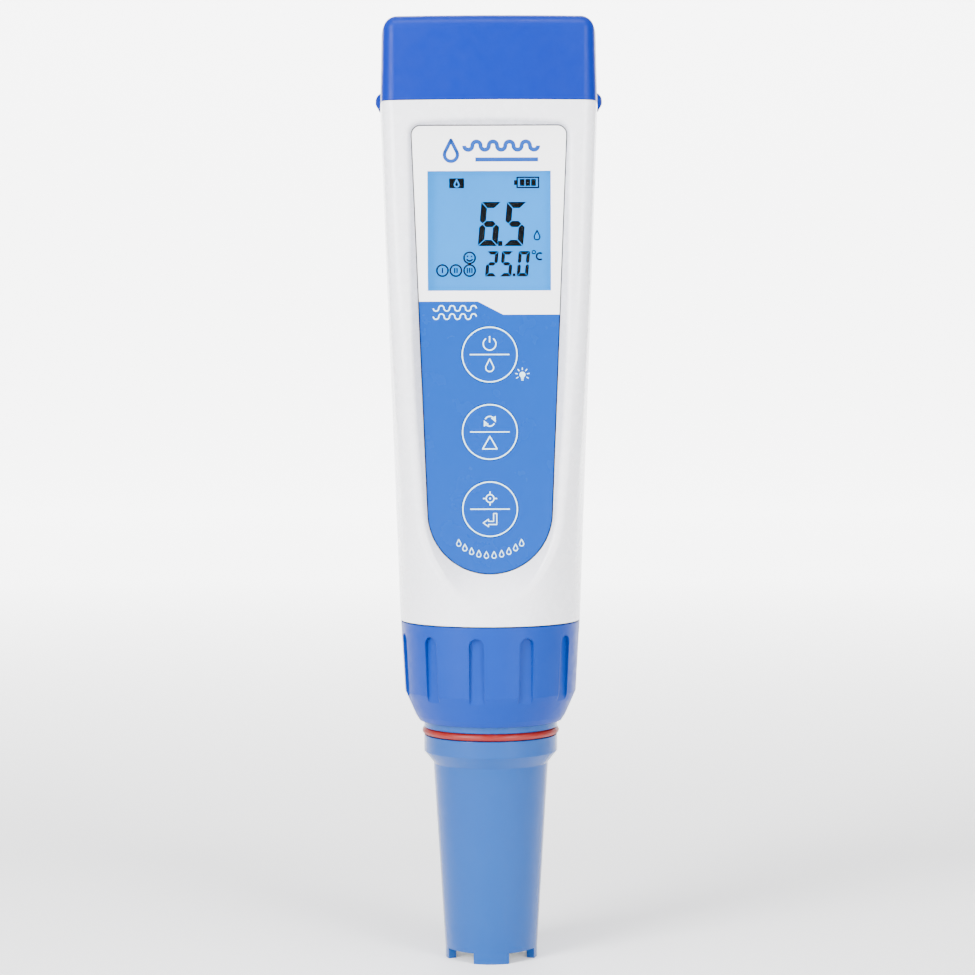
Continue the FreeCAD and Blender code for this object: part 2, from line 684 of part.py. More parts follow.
def make_housing():
    """Tapered moulding: round foot, squared rim, scooped label recess, neck and spigot."""
    foot, rim, wall = size("foot"), size("rim"), size("wall")
    seat = size("label_thickness + seal_thickness")
    floor_back = seat + size("floor_thickness")
    frame = label_frame()

    shell = housing_loft(foot, rim, 0.0)
    cavity_foot = foot + size("base_thickness")
    cavity = housing_loft(cavity_foot, rim - size("shelf_thickness"), wall)
    behind = Part.makeBox(200, 200, 300, V(-100, floor_back, -100))
    behind.Placement = frame
    cavity = cavity.common(behind)
    bore = rim_prism(rim - size("shelf_thickness") - 0.5, size("neck_end") + 1,
                     size("neck_inset + neck_shell"))
    neck = rim_prism(rim - 0.2, size("neck_end"), size("neck_inset"))
    hollow = shell.fuse(neck).cut(cavity).cut(bore)

    # Scooped recess: it opens wider towards the front, most of all at its foot.
    reach = size("scoop_reach")
    side = size("scoop_side") * reach
    floor_grow = size("label_gap")
    inner = label_wire(floor_grow, 0.0)
    outer = label_wire(floor_grow + side, -reach, drop=(size("scoop_foot") - size("scoop_side")) * reach)
    recess = Part.makeLoft([inner, outer], True, True)
    seat_cut = label_slab(floor_grow, -0.01, seat)
    recess.Placement = frame
    skin = shell
    shell = hollow.cut(recess)
    shell = shell.makeFillet(size("scoop_lip"), shared_edges(shell, recess, skin))
    openings = [seat_cut]
    openings.append(window_slab("glass_wide + 0.4", "glass_tall + 0.4", seat - 0.1, floor_back + 0.1))
    for up in KEYS.values():
        pocket_back = size("label_thickness + key_flange_thickness + key_travel + part_gap + 0.1")
        openings.append(upright("key_radius + key_flange + 0.2", up, seat - 0.1, pocket_back))
        openings.append(upright("key_stem + 0.25", up, seat - 0.1, floor_back + 0.1))
    for tool in openings:
        tool.Placement = frame
        shell = shell.cut(tool)

    for across, up in screw_places():
        centre = V(size(across), floor_back - 0.3, size(up))
        boss = Part.makeCylinder(size("boss_radius"), size("board_gap") + 0.3, centre, V(0, 1, 0))
        hole = Part.makeCylinder(size("screw_radius + 0.03"), size("board_gap") + 0.6, centre, V(0, 1, 0))
        boss.Placement = frame
        hole.Placement = frame
        shell = shell.fuse(boss).cut(hole)

    shell = shell.fuse(spigot_solid())
    bore = Part.makeCylinder(size("spigot_bore"), 60, V(0, 0, size("spigot_foot") - 1))
    bore_top = Part.makeBox(80, 80, 100, V(-40, -40, cavity_foot + 0.2))
    shell = shell.cut(bore.cut(bore_top))
    shell = shell.fuse(house_knuckles()).removeSplitter()
    return keep(shaped("housing_shell", shell), "housing_shell")


def spigot_solid():
    """Round spigot under the housing with ridges where the collar's thread runs."""
    low, high = size("spigot_foot"), size("foot") + 0.3
    radius, depth, pitch = size("spigot_radius"), size("thread_depth"), size("thread_pitch")
    points = [V(0, 0, low), V(radius - 0.4, 0, low), V(radius, 0, low + 0.4)]
    ridge = low + 1.6
    while ridge + pitch < size("foot") - 1.2:
        points += [V(radius, 0, ridge), V(radius + depth, 0, ridge + 0.3)]
        points += [V(radius + depth, 0, ridge + 0.9), V(radius, 0, ridge + 1.2)]
        ridge += pitch
    points += [V(radius, 0, high), V(0, 0, high)]
    face = Part.Face(Part.makePolygon(points + [points[0]]))
    return face.revolve(V(0, 0, 0), V(0, 0, 1), 360)


def knuckle_blocks(from_x, wide):
    """One hinge knuckle about the door's axis, with its bore."""
    centre = V(from_x, size("hinge_back"), size("hinge_height"))
    return Part.makeCylinder(size("knuckle_radius"), wide, centre, V(1, 0, 0))


def house_knuckles():
    """Two lugs on the neck's back wall that carry the hinge pin."""
    lugs = []
    start = size("door_knuckle") + 0.3
    wide = size("house_knuckle")
    back_wall = size("rim_half_depth - neck_inset")
    for from_x in (start, -start - wide):
        barrel = knuckle_blocks(from_x, wide)
        low = size("neck_end") - 0.2
        stand = Part.makeBox(wide, back_wall - 0.4 - size("hinge_back"),
                             size("hinge_height") - low, V(from_x, size("hinge_back"), low))
        pin = Part.makeCylinder(size("hinge_pin_radius") + 0.01, wide + 2,
                                V(from_x - 1, size("hinge_back"), size("hinge_height")), V(1, 0, 0))
        lugs.append(barrel.fuse(stand).cut(pin))
    return lugs


# ---------------------------------------------------------------- label side


def leaned(obj, label):
    """Sets a finished piece on the leaning front of the housing."""
    keep(obj, label)
    obj.Placement = label_frame()
    return obj


def make_label():
    """Hard label panel with its window and key holes, the seal behind it and the window."""
    thickness = size("label_thickness")
    panel = label_slab(0.0, 0.0, thickness)
    panel = panel.cut(window_slab("window_wide", "window_tall", -1, thickness + 1))
    seal = label_slab(size("label_gap - seal_gap"), thickness, size("label_thickness + seal_thickness"))
    seal = seal.cut(window_slab("glass_wide", "glass_tall", 0, 3))
    for up in KEYS.values():
        panel = panel.cut(upright("key_radius + key_gap", up, -1, thickness + 1))
        seal = seal.cut(upright("key_radius + key_flange + 0.2", up, 0, 3))
    leaned(shaped("front_panel", panel), "front_panel")
    leaned(shaped("panel_seal", seal), "panel_seal")
    lens = window_slab("window_wide - 2 * insert_gap", "window_tall - 2 * insert_gap", 0, thickness)
    leaned(shaped("display_window", lens), "display_window")


def front_plate(name, outline, front, thickness, holes=()):
    """Flat part parallel to the label: an outline at a depth, padded inwards."""
    body = new_body(name)
    sketch = new_sketch(body, name + "_outline", "XZ_Plane", f"-({front})")
    draw_outline(sketch, outline)
    pad(body, sketch, thickness, back=True)
    if holes:
        drill = new_sketch(body, name + "_holes", "XZ_Plane", f"-({front})")
        for across, up, radius in holes:
            draw_circle(drill, across, up, radius)
        pocket(body, drill, thickness, back=False)
    return body


def rectangle(wide, low, high):
    """Corners of a rectangle about the middle line."""
    half = f"({wide}) / 2"
    return [(f"-{half}", low), (half, low), (half, high), (f"-{half}", high)]


def about_window(wide, tall):
    """Corners of a rectangle centred on the display."""
    return rectangle(wide, f"window_height - ({tall}) / 2", f"window_height + ({tall}) / 2")


GLASS_FRONT = "label_thickness + seal_thickness + 0.05"
FLOOR_BACK = "label_thickness + seal_thickness + floor_thickness"
BOARD_FRONT = FLOOR_BACK + " + board_gap"


def make_display():
    """Glass, light guide, carrier frame and the two contact strips."""
    glass = front_plate("lcd_glass", about_window("glass_wide", "glass_tall"), GLASS_FRONT,
                        "glass_thickness")
    leaned(glass, "lcd_glass")
    light_front = f"{FLOOR_BACK} + part_gap"
    light = front_plate("lcd_backlight", about_window("light_wide", "light_tall"), light_front,
                        "light_thickness")
    leaned(light, "lcd_backlight")

    inner_tall = "light_tall + 2 * zebra_tall + 4 * part_gap"
    inner_wide = "light_wide + 2 * part_gap"
    outer_wide = f"{inner_wide} + 2 * frame_wall"
    outer_tall = f"{inner_tall} + 2 * frame_wall"
    frame = front_plate("lcd_frame", about_window(outer_wide, outer_tall), light_front,
                        "board_gap - part_gap")
    hollow = new_sketch(frame, "frame_hollow", "XZ_Plane", f"-({light_front})")
    draw_outline(hollow, about_window(inner_wide, inner_tall))
    pocket(frame, hollow, "board_gap - part_gap", back=False)
    leaned(frame, "lcd_frame")

    strips = []
    for name, sign in (("lower", "-"), ("upper", "+")):
        centre = f"window_height {sign} (light_tall / 2 + part_gap + zebra_tall / 2)"
        outline = rectangle("light_wide", f"{centre} - zebra_tall / 2", f"{centre} + zebra_tall / 2")
        strip_front = f"{GLASS_FRONT} + glass_thickness"
        strips.append(front_plate(f"{name}_strip", outline, strip_front,
                                  f"({BOARD_FRONT}) - ({strip_front})"))
    leaned(grouped("zebra_strips", strips), "zebra_strips")


def make_board():
    """Main board with its components, switches and screws."""
    outline = [("-board_foot_half", "board_foot"), ("board_foot_half", "board_foot"),
               ("board_top_half", "board_top"), ("-board_top_half", "board_top")]
    holes = [(across, up, "screw_radius + 0.15") for across, up in screw_places()]
    board = front_plate("main_board", outline, BOARD_FRONT, "board_thickness", holes)
    leaned(board, "main_board")

    back = f"{BOARD_FRONT} + board_thickness"
    chips = [
        ("processor", "8", "19", "27", "1.1"), ("amplifier", "5", "7", "12", "1.0"),
        ("regulator", "4", "30.5", "34", "1.0"),
    ]
    placed = []
    for name, wide, low, high, thick in chips:
        placed.append(front_plate(name, rectangle(wide, low, high), back, thick))
    placed.append(front_plate("crystal", [("6", "20"), ("8", "20"), ("8", "25"), ("6", "25")], back, "1"))
    leaned(grouped("board_chips", placed), "board_chips")

    switches = []
    body_front = f"{BOARD_FRONT} - switch_height"
    for key, up in KEYS.items():
        outline = rectangle("switch_side", f"{up} - switch_side / 2", f"{up} + switch_side / 2")
        name = key.replace("key", "switch")
        switch = front_plate(name, outline, body_front, "switch_height")
        plunger = new_sketch(switch, name + "_plunger", "XZ_Plane", f"-({body_front})")
        draw_circle(plunger, "0", up, "plunger_radius")
        pad(switch, plunger, "board_gap - switch_height - 0.1")
        switches.append(switch)
    leaned(grouped("tact_switches", switches), "tact_switches")

    screws = []
    for index, (across, up) in enumerate(screw_places()):
        name = f"screw_{index + 1}"
        screw = new_body(name)
        head = new_sketch(screw, name + "_head", "XZ_Plane", f"-({back})")
        draw_circle(head, across, up, "screw_head")
        pad(screw, head, "0.9", back=True)
        shaft = new_sketch(screw, name + "_shaft", "XZ_Plane", f"-({back})")
        draw_circle(shaft, across, up, "screw_radius")
        pad(screw, shaft, "board_thickness + board_gap")
        screws.append(screw)
    leaned(grouped("board_screws", screws), "board_screws")


def make_keys():
    """Three press keys, each a disc in the panel with a flange and a stem behind it."""
    for key, up in KEYS.items():
        body = new_body(key)
        face = new_sketch(body, key + "_face", "XZ_Plane", "0")
        draw_circle(face, "0", up, "key_radius")
        pad(body, face, "label_thickness + 0.05", back=True)
        flange = new_sketch(body, key + "_flange", "XZ_Plane", "-(label_thickness + 0.05)")
        draw_circle(flange, "0", up, "key_radius + key_flange")
        pad(body, flange, "key_flange_thickness", back=True)
        stem_front = "label_thickness + 0.05 + key_flange_thickness"
        stem = new_sketch(body, key + "_stem", "XZ_Plane", f"-({stem_front})")
        draw_circle(stem, "0", up, "key_stem")
        length = f"({FLOOR_BACK}) + 0.1 - key_travel - part_gap / 2 - ({stem_front})"
        pad(body, stem, length, back=True)
        leaned(body, key)


# ---------------------------------------------------------------- power


def cell_places():
    """Cell centres, two rows of two, as pairs of formulas."""
    for row in ("cell_row - cell_pitch", "cell_row"):
        for side in ("-", ""):
            yield f"{side}cell_pitch / 2", row


def make_cells():
    """Four slim cells; neighbours stand opposite ways up."""
    for index, (across, back) in enumerate(cell_places()):
        foot = "cell_top - cell_length"
        nub_up = index in (0, 3)
        can_foot = foot if nub_up else f"{foot} + nub_height"
        nub_foot = "cell_top - nub_height" if nub_up else foot
        can = rod(f"can_{index + 1}", "cell_radius", can_foot, "cell_length - nub_height", across, back)
        nub = rod(f"nub_{index + 1}", "nub_radius", nub_foot, "nub_height", across, back)
        keep(joined(f"battery_{index + 1}", [can, nub]), f"battery_{index + 1}")


def make_holder():
    """Carrier with four bores, the coil contacts under the cells."""
    margin = "(cell_radius + bore_gap + holder_wall)"
    floor = "cell_top - cell_length - spring_length - holder_floor"
    wide = f"cell_pitch + 2 * {margin}"
    deep = f"{wide} - holder_wall / 2"
    carrier = block("carrier_block", wide, deep, f"cell_top - 0.6 - ({floor})", "0",
                    f"cell_row - cell_pitch - {margin}", floor)
    bores = []
    for index, (across, back) in enumerate(cell_places()):
        bores.append(rod(f"bore_{index + 1}", "cell_radius + bore_gap", f"{floor} + holder_floor",
                         "cell_length + spring_length", across, back))
    keep(cut("battery_holder", carrier, joined("bores", bores)), "battery_holder")

    coils = []
    for index, (across, back) in enumerate(cell_places()):
        foot = size(f"{floor} + holder_floor + spring_wire")
        height = size("spring_length - 2 * spring_wire - 0.1")
        path = Part.makeHelix(height / size("spring_turns"), height, size("spring_radius"))
        start = V(size("spring_radius"), 0, 0)
        ring_wire = Part.Wire(Part.makeCircle(size("spring_wire"), start, V(0, 1, 0)))
        coil = Part.Wire(path).makePipeShell([ring_wire], True, True)
        coil.translate(V(size(across), size(back), foot))
        coils.append(shaped(f"coil_{index + 1}", coil))
    keep(grouped("battery_springs", coils), "battery_springs")


def make_battery_door():
    """Hinged lid over the cells, its contact strips and the hinge pin."""
    foot, thickness = size("door_foot"), size("door_thickness")
    lid = rim_prism(foot, foot + thickness, size("door_inset"))
    back_edge = size("hinge_back") - size("knuckle_radius") - 0.2
    beyond = Part.makeBox(100, 100, 20, V(-50, back_edge, foot - 5))
    lid = lid.cut(beyond)
    half = size("door_knuckle")
    barrel = knuckle_blocks(-half, 2 * half)
    web = Part.makeBox(2 * half, size("knuckle_radius") + 0.4, thickness,
                       V(-half, back_edge - 0.2, foot))
    web_top = size("hinge_height") - foot
    web = web.fuse(Part.makeBox(2 * half, 1.2, web_top, V(-half, back_edge - 0.2, foot)))
    pin_bore = Part.makeCylinder(size("hinge_pin_radius + hinge_fit"), 2 * half + 2,
                                 V(-half - 1, size("hinge_back"), size("hinge_height")), V(1, 0, 0))
    lid = lid.fuse([barrel, web]).cut(pin_bore).removeSplitter()
    keep(shaped("battery_door", lid), "battery_door")

    strips = []
    for index, side in enumerate(("-", "")):
        deep = "cell_pitch + 2 * nub_radius"
        strips.append(block(f"strip_{index + 1}", "5", deep, "strip_thickness",
                            f"{side}cell_pitch / 2", "cell_row - cell_pitch - nub_radius",
                            "door_foot - strip_thickness"))
    keep(grouped("door_contacts", strips), "door_contacts")

    pin = doc.addObject("Part::Cylinder", "hinge_pin")
    reach = "(door_knuckle + 0.3 + house_knuckle)"
    pin.Placement = FreeCAD.Placement(V(0, 0, 0), FreeCAD.Rotation(V(0, 1, 0), 90))
    bind(pin, Radius="hinge_pin_radius", Height=f"2 * {reach}")
    bind(pin, Placement__Base__x=f"-{reach}", Placement__Base__y="hinge_back")
    bind(pin, Placement__Base__z="hinge_height")
    keep(pin, "hinge_pin")


# ---------------------------------------------------------------- cap


def ear(side):
    """Small rounded lug on one side of the cap's rim, with a pointed foot."""
    out, tall = size("ear_out"), size("ear_tall")
    wall = size("rim_half_width")
    low = size("rim") - 0.3
    deep = size("ear_wide")

    def at(across, up):
        return V(side * across, -deep / 2, up)

    inner = wall - 0.9
    edges = [
        Part.makeLine(at(inner, low + tall), at(wall, low + tall)),
        Part.Arc(at(wall, low + tall), at(wall + out, low + 0.62 * tall),
                 at(wall + 0.62 * out, low + 0.22 * tall)).toShape(),
        Part.makeLine(at(wall + 0.62 * out, low + 0.22 * tall), at(wall + 0.25, low)),
        Part.makeLine(at(wall + 0.25, low), at(wall + 0.12, low + 0.4)),
        Part.makeLine(at(wall + 0.12, low + 0.4), at(inner, low + 0.4)),
        Part.makeLine(at(inner, low + 0.4), at(inner, low + tall)),
    ]
    lug = Part.Face(Part.Wire(edges)).extrude(V(0, deep, 0))
    # A plan circle through the lug's crest rounds its two ends.
    radius = deep / 2 + 0.6
    centre = V(side * (wall + out - radius), 0, low)
    return lug.common(Part.makeCylinder(radius, tall + 1, centre))


def make_cap():
    """Pull-off battery cap with rounded top and two ears, and the seal under it."""
    foot, top = size("rim + cap_gap"), size("cap_top")
    draft = size("cap_draft")
    rim = size("rim")
    outer = Part.makeLoft([section_wire(rim, 0.0, foot), section_wire(rim, draft, top)], True, True)
    upper = [edge for edge in outer.Edges
             if abs(edge.BoundBox.ZMin - top) < 1e-4 and abs(edge.BoundBox.ZMax - top) < 1e-4]
    outer = outer.makeFillet(size("cap_round"), upper)
    outer = outer.fuse([ear(1), ear(-1)])
    wall = size("cap_wall")
    inner = Part.makeLoft([section_wire(rim, wall, foot - 1), section_wire(rim, wall + draft, top - wall)],
                          True, True)
    cap = outer.cut(inner).removeSplitter()
    keep(shaped("battery_cap", cap), "battery_cap")
    low = size("cap_seal_foot")
    band = rim_prism(low, low + size("cap_seal_tall"), wall + 0.08 + draft, size("neck_inset"))
    keep(shaped("cap_seal", band), "cap_seal")


# ---------------------------------------------------------------- the whole pen


def check_document():
    """Stops when any object failed or any piece is empty or invalid."""
    doc.recompute()
    for item in doc.Objects:
        if "Invalid" in item.State or "Error" in item.State:
            raise RuntimeError(f"{item.Name} is {item.State}")
    for item in parts:
        if item.Shape.isNull() or not item.Shape.isValid() or item.Shape.Volume <= 0:
            raise RuntimeError(f"{item.Label} has no valid solid")


def main():
    fill_sheet()
    make_probe_barrel()
    make_probe_rings()
    make_plug()
    make_socket()
    make_sensing_parts()
    make_collar()
    make_slip_washer()
    make_housing()
    make_label()
    make_display()
    make_board()
    make_keys()
    make_cells()
    make_holder()
    make_battery_door()
    make_cap()
    check_document()
    os.makedirs("parts", exist_ok=True)
    for item in parts:
        item.Shape.exportStep(f"parts/{item.Label}.step")


main()
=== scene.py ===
import json
import logging
import math
from dataclasses import dataclass, field
from enum import Enum

import bmesh
import bpy
from mathutils import Matrix, Vector


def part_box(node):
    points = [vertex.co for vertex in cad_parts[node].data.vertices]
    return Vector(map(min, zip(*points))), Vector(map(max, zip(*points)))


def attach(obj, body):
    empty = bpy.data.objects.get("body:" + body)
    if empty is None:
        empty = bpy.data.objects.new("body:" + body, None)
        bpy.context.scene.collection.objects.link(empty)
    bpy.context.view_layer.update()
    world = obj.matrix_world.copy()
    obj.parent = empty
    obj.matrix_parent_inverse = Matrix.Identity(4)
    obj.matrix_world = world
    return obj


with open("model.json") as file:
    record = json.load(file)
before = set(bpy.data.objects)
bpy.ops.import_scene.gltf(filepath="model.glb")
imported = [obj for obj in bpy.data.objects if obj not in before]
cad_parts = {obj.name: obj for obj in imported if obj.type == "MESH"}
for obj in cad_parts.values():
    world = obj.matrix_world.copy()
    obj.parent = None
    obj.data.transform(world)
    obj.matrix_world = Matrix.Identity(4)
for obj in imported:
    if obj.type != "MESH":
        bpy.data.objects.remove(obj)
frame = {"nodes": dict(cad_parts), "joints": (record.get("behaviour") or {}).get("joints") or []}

log = logging.getLogger("ph_test_pen")

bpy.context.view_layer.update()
MM = 0.001
Colour = tuple[float, float, float]
Point = tuple[float, float]
# Nearly all of a noise lies in this span.
NOISE_SPAN: Point = (0.3, 0.7)


def tone(red: int, green: int, blue: int) -> Colour:
    """Turns a display colour of 0 to 255 a channel into a linear colour.

    Args:
        red: Red channel.
        green: Green channel.
        blue: Blue channel.

    Returns:
        The linear colour.
    """
    channels = [value / 255 for value in (red, green, blue)]
    return tuple(c / 12.92 if c <= 0.04045 else ((c + 0.055) / 1.055) ** 2.4 for c in channels)


# ------------------------------------------------------------------ shader sheets


class ShaderSheet:
    """A material's node tree with short calls for the nodes that the finishes share."""

    def __init__(self, name: str) -> None:
        """Starts a material with one Principled shader.

        Args:
            name: Material name.
        """
        self.material: bpy.types.Material = bpy.data.materials.new(name)
        self.material.use_nodes = True
        self.tree: bpy.types.NodeTree = self.material.node_tree
        self.shader: bpy.types.Node = self.tree.nodes["Principled BSDF"]
        self.place: bpy.types.NodeSocket = self.add("ShaderNodeTexCoord").outputs["Object"]

    def add(self, kind: str, **settings: object) -> bpy.types.Node:
        """Adds a node and sets its properties.

        Args:
            kind: Node type.
            settings: Properties by name.

        Returns:
            The node.
        """
        node = self.tree.nodes.new(kind)
        for name, value in settings.items():
            setattr(node, name, value)
        return node

    def link(self, source: bpy.types.NodeSocket, target: bpy.types.NodeSocket) -> None:
        """Links one socket to another."""
        self.tree.links.new(source, target)

    def put(self, target: bpy.types.NodeSocket, value: object) -> None:
        """Links a socket, or sets its plain value.

        Args:
            target: Input to feed.
            value: Socket to link, or a plain value.
        """
        if isinstance(value, bpy.types.NodeSocket):
            self.link(value, target)
        elif isinstance(value, tuple) and len(value) == 3 and target.type == "RGBA":
            target.default_value = (*value, 1.0)
        else:
            target.default_value = value

    def set(self, **values: object) -> None:
        """Sets or links the shader's own inputs.

        Args:
            values: Values or sockets by input name, with underscores for spaces.
        """
        for name, value in values.items():
            self.put(self.shader.inputs[name.replace("_", " ")], value)

    def stretched(self, scale: Vector) -> bpy.types.NodeSocket:
        """Gives Object coordinates a different scale along each axis.

        Args:
            scale: Scale along each axis.

        Returns:
            The coordinates.
        """
        mapping = self.add("ShaderNodeMapping")
        mapping.inputs["Scale"].default_value = scale
        self.link(self.place, mapping.inputs["Vector"])
        return mapping.outputs["Vector"]

    def noise(self, cell: float, detail: float = 2.0, where: bpy.types.NodeSocket | None = None,
              roughness: float = 0.5) -> bpy.types.NodeSocket:
        """Adds noise whose cells have a real size.

        Args:
            cell: Size of one cell in metres.
            detail: Octaves of detail.
            where: Coordinates, or Object coordinates when left out.
            roughness: Strength of the finer octaves.

        Returns:
            The noise factor.
        """
        node = self.add("ShaderNodeTexNoise")
        node.inputs["Scale"].default_value = 1 / cell
        node.inputs["Detail"].default_value = detail
        node.inputs["Roughness"].default_value = roughness
        self.link(self.place if where is None else where, node.inputs["Vector"])
        return node.outputs["Fac"]

    def pits(self, cell: float) -> bpy.types.NodeSocket:
        """Scatters cells of a real size.

        Args:
            cell: Size of one cell in metres.

        Returns:
            Distance to the nearest cell's centre.
        """
        node = self.add("ShaderNodeTexVoronoi")
        node.inputs["Scale"].default_value = 1 / cell
        self.link(self.place, node.inputs["Vector"])
        return node.outputs["Distance"]

    def math(self, operation: str, first: object, second: object = 0.0) -> bpy.types.NodeSocket:
        """Adds a Math node.

        Args:
            operation: What it works out.
            first: First socket or number.
            second: Second socket or number.

        Returns:
            The result.
        """
        node = self.add("ShaderNodeMath", operation=operation)
        self.put(node.inputs[0], first)
        self.put(node.inputs[1], second)
        return node.outputs[0]

    def spread(self, value: bpy.types.NodeSocket, low: float, high: float, start: float = 0.0,
               end: float = 1.0) -> bpy.types.NodeSocket:
        """Maps a value from one span to another and clamps it.

        Args:
            value: Value to map.
            low: Result where the span starts.
            high: Result where it ends.
            start: Value where the span starts.
            end: Value where it ends.

        Returns:
            The mapped value.
        """
        node = self.add("ShaderNodeMapRange")
        limits = {"From Min": start, "From Max": end, "To Min": low, "To Max": high}
        for name, number in limits.items():
            node.inputs[name].default_value = number
        self.link(value, node.inputs["Value"])
        return node.outputs["Result"]

    def blend(self, share: object, first: object, second: object) -> bpy.types.NodeSocket:
        """Mixes two colours.

        Args:
            share: Share of the second colour.
            first: First colour or socket.
            second: Second colour or socket.

        Returns:
            The mixed colour.
        """
        node = self.add("ShaderNodeMix", data_type="RGBA")
        self.put(node.inputs["Factor"], share)
        self.put(node.inputs["A"], first)
        self.put(node.inputs["B"], second)
        return node.outputs["Result"]

    def relief(self, height: bpy.types.NodeSocket, depth: float,
               base: bpy.types.NodeSocket | None = None) -> bpy.types.NodeSocket:
        """Turns a height into a bumped normal.

        Args:
            height: Height from 0 to 1.
            depth: Depth of the bump in metres.
            base: Normal to bump, or the surface's own when left out.

        Returns:
            The normal.
        """
        node = self.add("ShaderNodeBump")
        node.inputs["Strength"].default_value = 1.0
        node.inputs["Distance"].default_value = depth
        self.link(height, node.inputs["Height"])
        if base is not None:
            self.link(base, node.inputs["Normal"])
        return node.outputs["Normal"]

    def softened(self, radius: float) -> bpy.types.NodeSocket:
        """Rounds sharp edges in the shading.

        Args:
            radius: Radius in metres.

        Returns:
            The normal.
        """
        node = self.add("ShaderNodeBevel", samples=4)
        node.inputs["Radius"].default_value = radius
        return node.outputs["Normal"]

    def axis(self, name: str) -> bpy.types.NodeSocket:
        """Takes one of the Object coordinates.

        Args:
            name: X, Y or Z.

        Returns:
            The coordinate.
        """
        node = self.add("ShaderNodeSeparateXYZ")
        self.link(self.place, node.inputs[0])
        return node.outputs[name]


# ------------------------------------------------------------------ finishes


class Grain(Enum):
    """How a moulded surface came out of its mould."""

    POLISHED = "polished"
    SPARKED = "sparked"
    DRAWN = "drawn"


@dataclass(frozen=True)
class Moulding:
    """Moulded plastic with grain, colour drift, rounded edges and optional painted shade in its recesses.
    """

    name: str
    colour: Colour
    shade: Colour
    roughness: float
    grain: Grain
    cell: float = 0.25 * MM
    depth: float = 0.004 * MM
    edge: float = 0.12 * MM
    coat: float = 0.0
    glow: float = 0.0
    sheen: float = 0.5
    # Reach of the painted shade in recesses, in metres; 0 paints none.
    painted_shade_reach: float = 0.0
    drift_cell: float = 14 * MM
    wave_cell: float = 6 * MM
    wear_cell: float = 1.8 * MM

    def material(self) -> bpy.types.Material:
        """Builds the finish.

        Returns:
            The material.
        """
        sheet = ShaderSheet(self.name)
        drift = sheet.noise(self.drift_cell, 3.0)
        share = sheet.spread(drift, 0.0, 1.0, 0.35, 0.65)
        base = sheet.blend(share, self.colour, self.shade)
        # Painted shade: recesses darkened by ambient occlusion.
        sheet.set(Base_Color=self.painted_recess_shade(sheet, base) if self.painted_shade_reach else base)
        stretch = Vector((1, 1, 0.06)) if self.grain is Grain.DRAWN else Vector((1, 1, 1))
        fine = sheet.noise(self.cell, 3.0, sheet.stretched(stretch), 0.6)
        rounded = sheet.softened(self.edge)
        if self.grain is Grain.SPARKED:
            sparks = sheet.math("MULTIPLY", sheet.pits(self.cell * 1.6), 0.8)
            height = sheet.math("ADD", fine, sparks)
        else:
            height = fine
        wave = sheet.noise(self.wave_cell, 1.0)
        waved = sheet.relief(wave, self.depth * 1.5, rounded)
        sheet.set(Normal=sheet.relief(height, self.depth, waved))
        worn = sheet.noise(self.wear_cell, 4.0)
        low, high = self.roughness * 0.82, min(1.0, self.roughness * 1.22)
        sheet.set(Roughness=sheet.spread(worn, low, high, *NOISE_SPAN))
        sheet.set(Coat_Weight=self.coat, Coat_Roughness=0.08)
        sheet.set(IOR=1.5, Specular_IOR_Level=self.sheen)
        if self.glow:
            sheet.set(Subsurface_Weight=self.glow, Subsurface_Scale=0.6 * MM)
        return sheet.material

    def painted_recess_shade(self, sheet: ShaderSheet, base: bpy.types.NodeSocket) -> bpy.types.NodeSocket:
        """Paints shade into recesses and seams: darkens the colour where ambient occlusion finds the
        surface hidden.

        Args:
            sheet: The material being built.
            base: Its plain colour.

        Returns:
            The colour with painted shade in its recesses.
        """
        hollow = sheet.add("ShaderNodeAmbientOcclusion", samples=8)
        hollow.inputs["Distance"].default_value = self.painted_shade_reach
        openness = sheet.spread(hollow.outputs["AO"], 0.0, 1.0, 0.6, 0.97)
        # Grey-blue of the painted shade that fills the recesses.
        painted_shade_colour = (self.colour[0] * 0.2, self.colour[1] * 0.215, self.colour[2] * 0.3)
        return sheet.blend(openness, painted_shade_colour, base)


@dataclass(frozen=True)
class LabelFilm:
    """Printed label: white above, blue below, with a slanting step between the two fields."""

    name: str
    white: Colour
    blue: Colour
    step_low: float
    step_high: float
    step_left: float
    step_right: float
    roughness: float = 0.24
    blur: float = 0.02 * MM

    def material(self) -> bpy.types.Material:
        """Builds the finish.

        Returns:
            The material.
        """
        sheet = ShaderSheet(self.name)
        line = sheet.spread(sheet.axis("X"), self.step_high, self.step_low, self.step_left,
                            self.step_right)
        above = sheet.math("SUBTRACT", sheet.axis("Z"), line)
        share = sheet.spread(above, 0.0, 1.0, -self.blur, self.blur)
        drift = sheet.spread(sheet.noise(9 * MM, 2.0), 0.98, 1.0, *NOISE_SPAN)
        printed = sheet.blend(share, self.blue, self.white)
        tint = sheet.add("ShaderNodeMix", data_type="RGBA", blend_type="MULTIPLY")
        tint.inputs["Factor"].default_value = 1.0
        sheet.link(printed, tint.inputs["A"])
        sheet.link(drift, tint.inputs["B"])
        sheet.set(Base_Color=tint.outputs["Result"])
        orange_peel = sheet.noise(0.5 * MM, 2.0)
        sheet.set(Normal=sheet.relief(orange_peel, 0.0008 * MM, sheet.softened(0.06 * MM)))
        handled = sheet.noise(5 * MM, 4.0)
        high = self.roughness * 1.2
        sheet.set(Roughness=sheet.spread(handled, self.roughness, high, 0.35, 0.7))
        sheet.set(Coat_Roughness=0.12, Specular_IOR_Level=0.14)
        return sheet.material


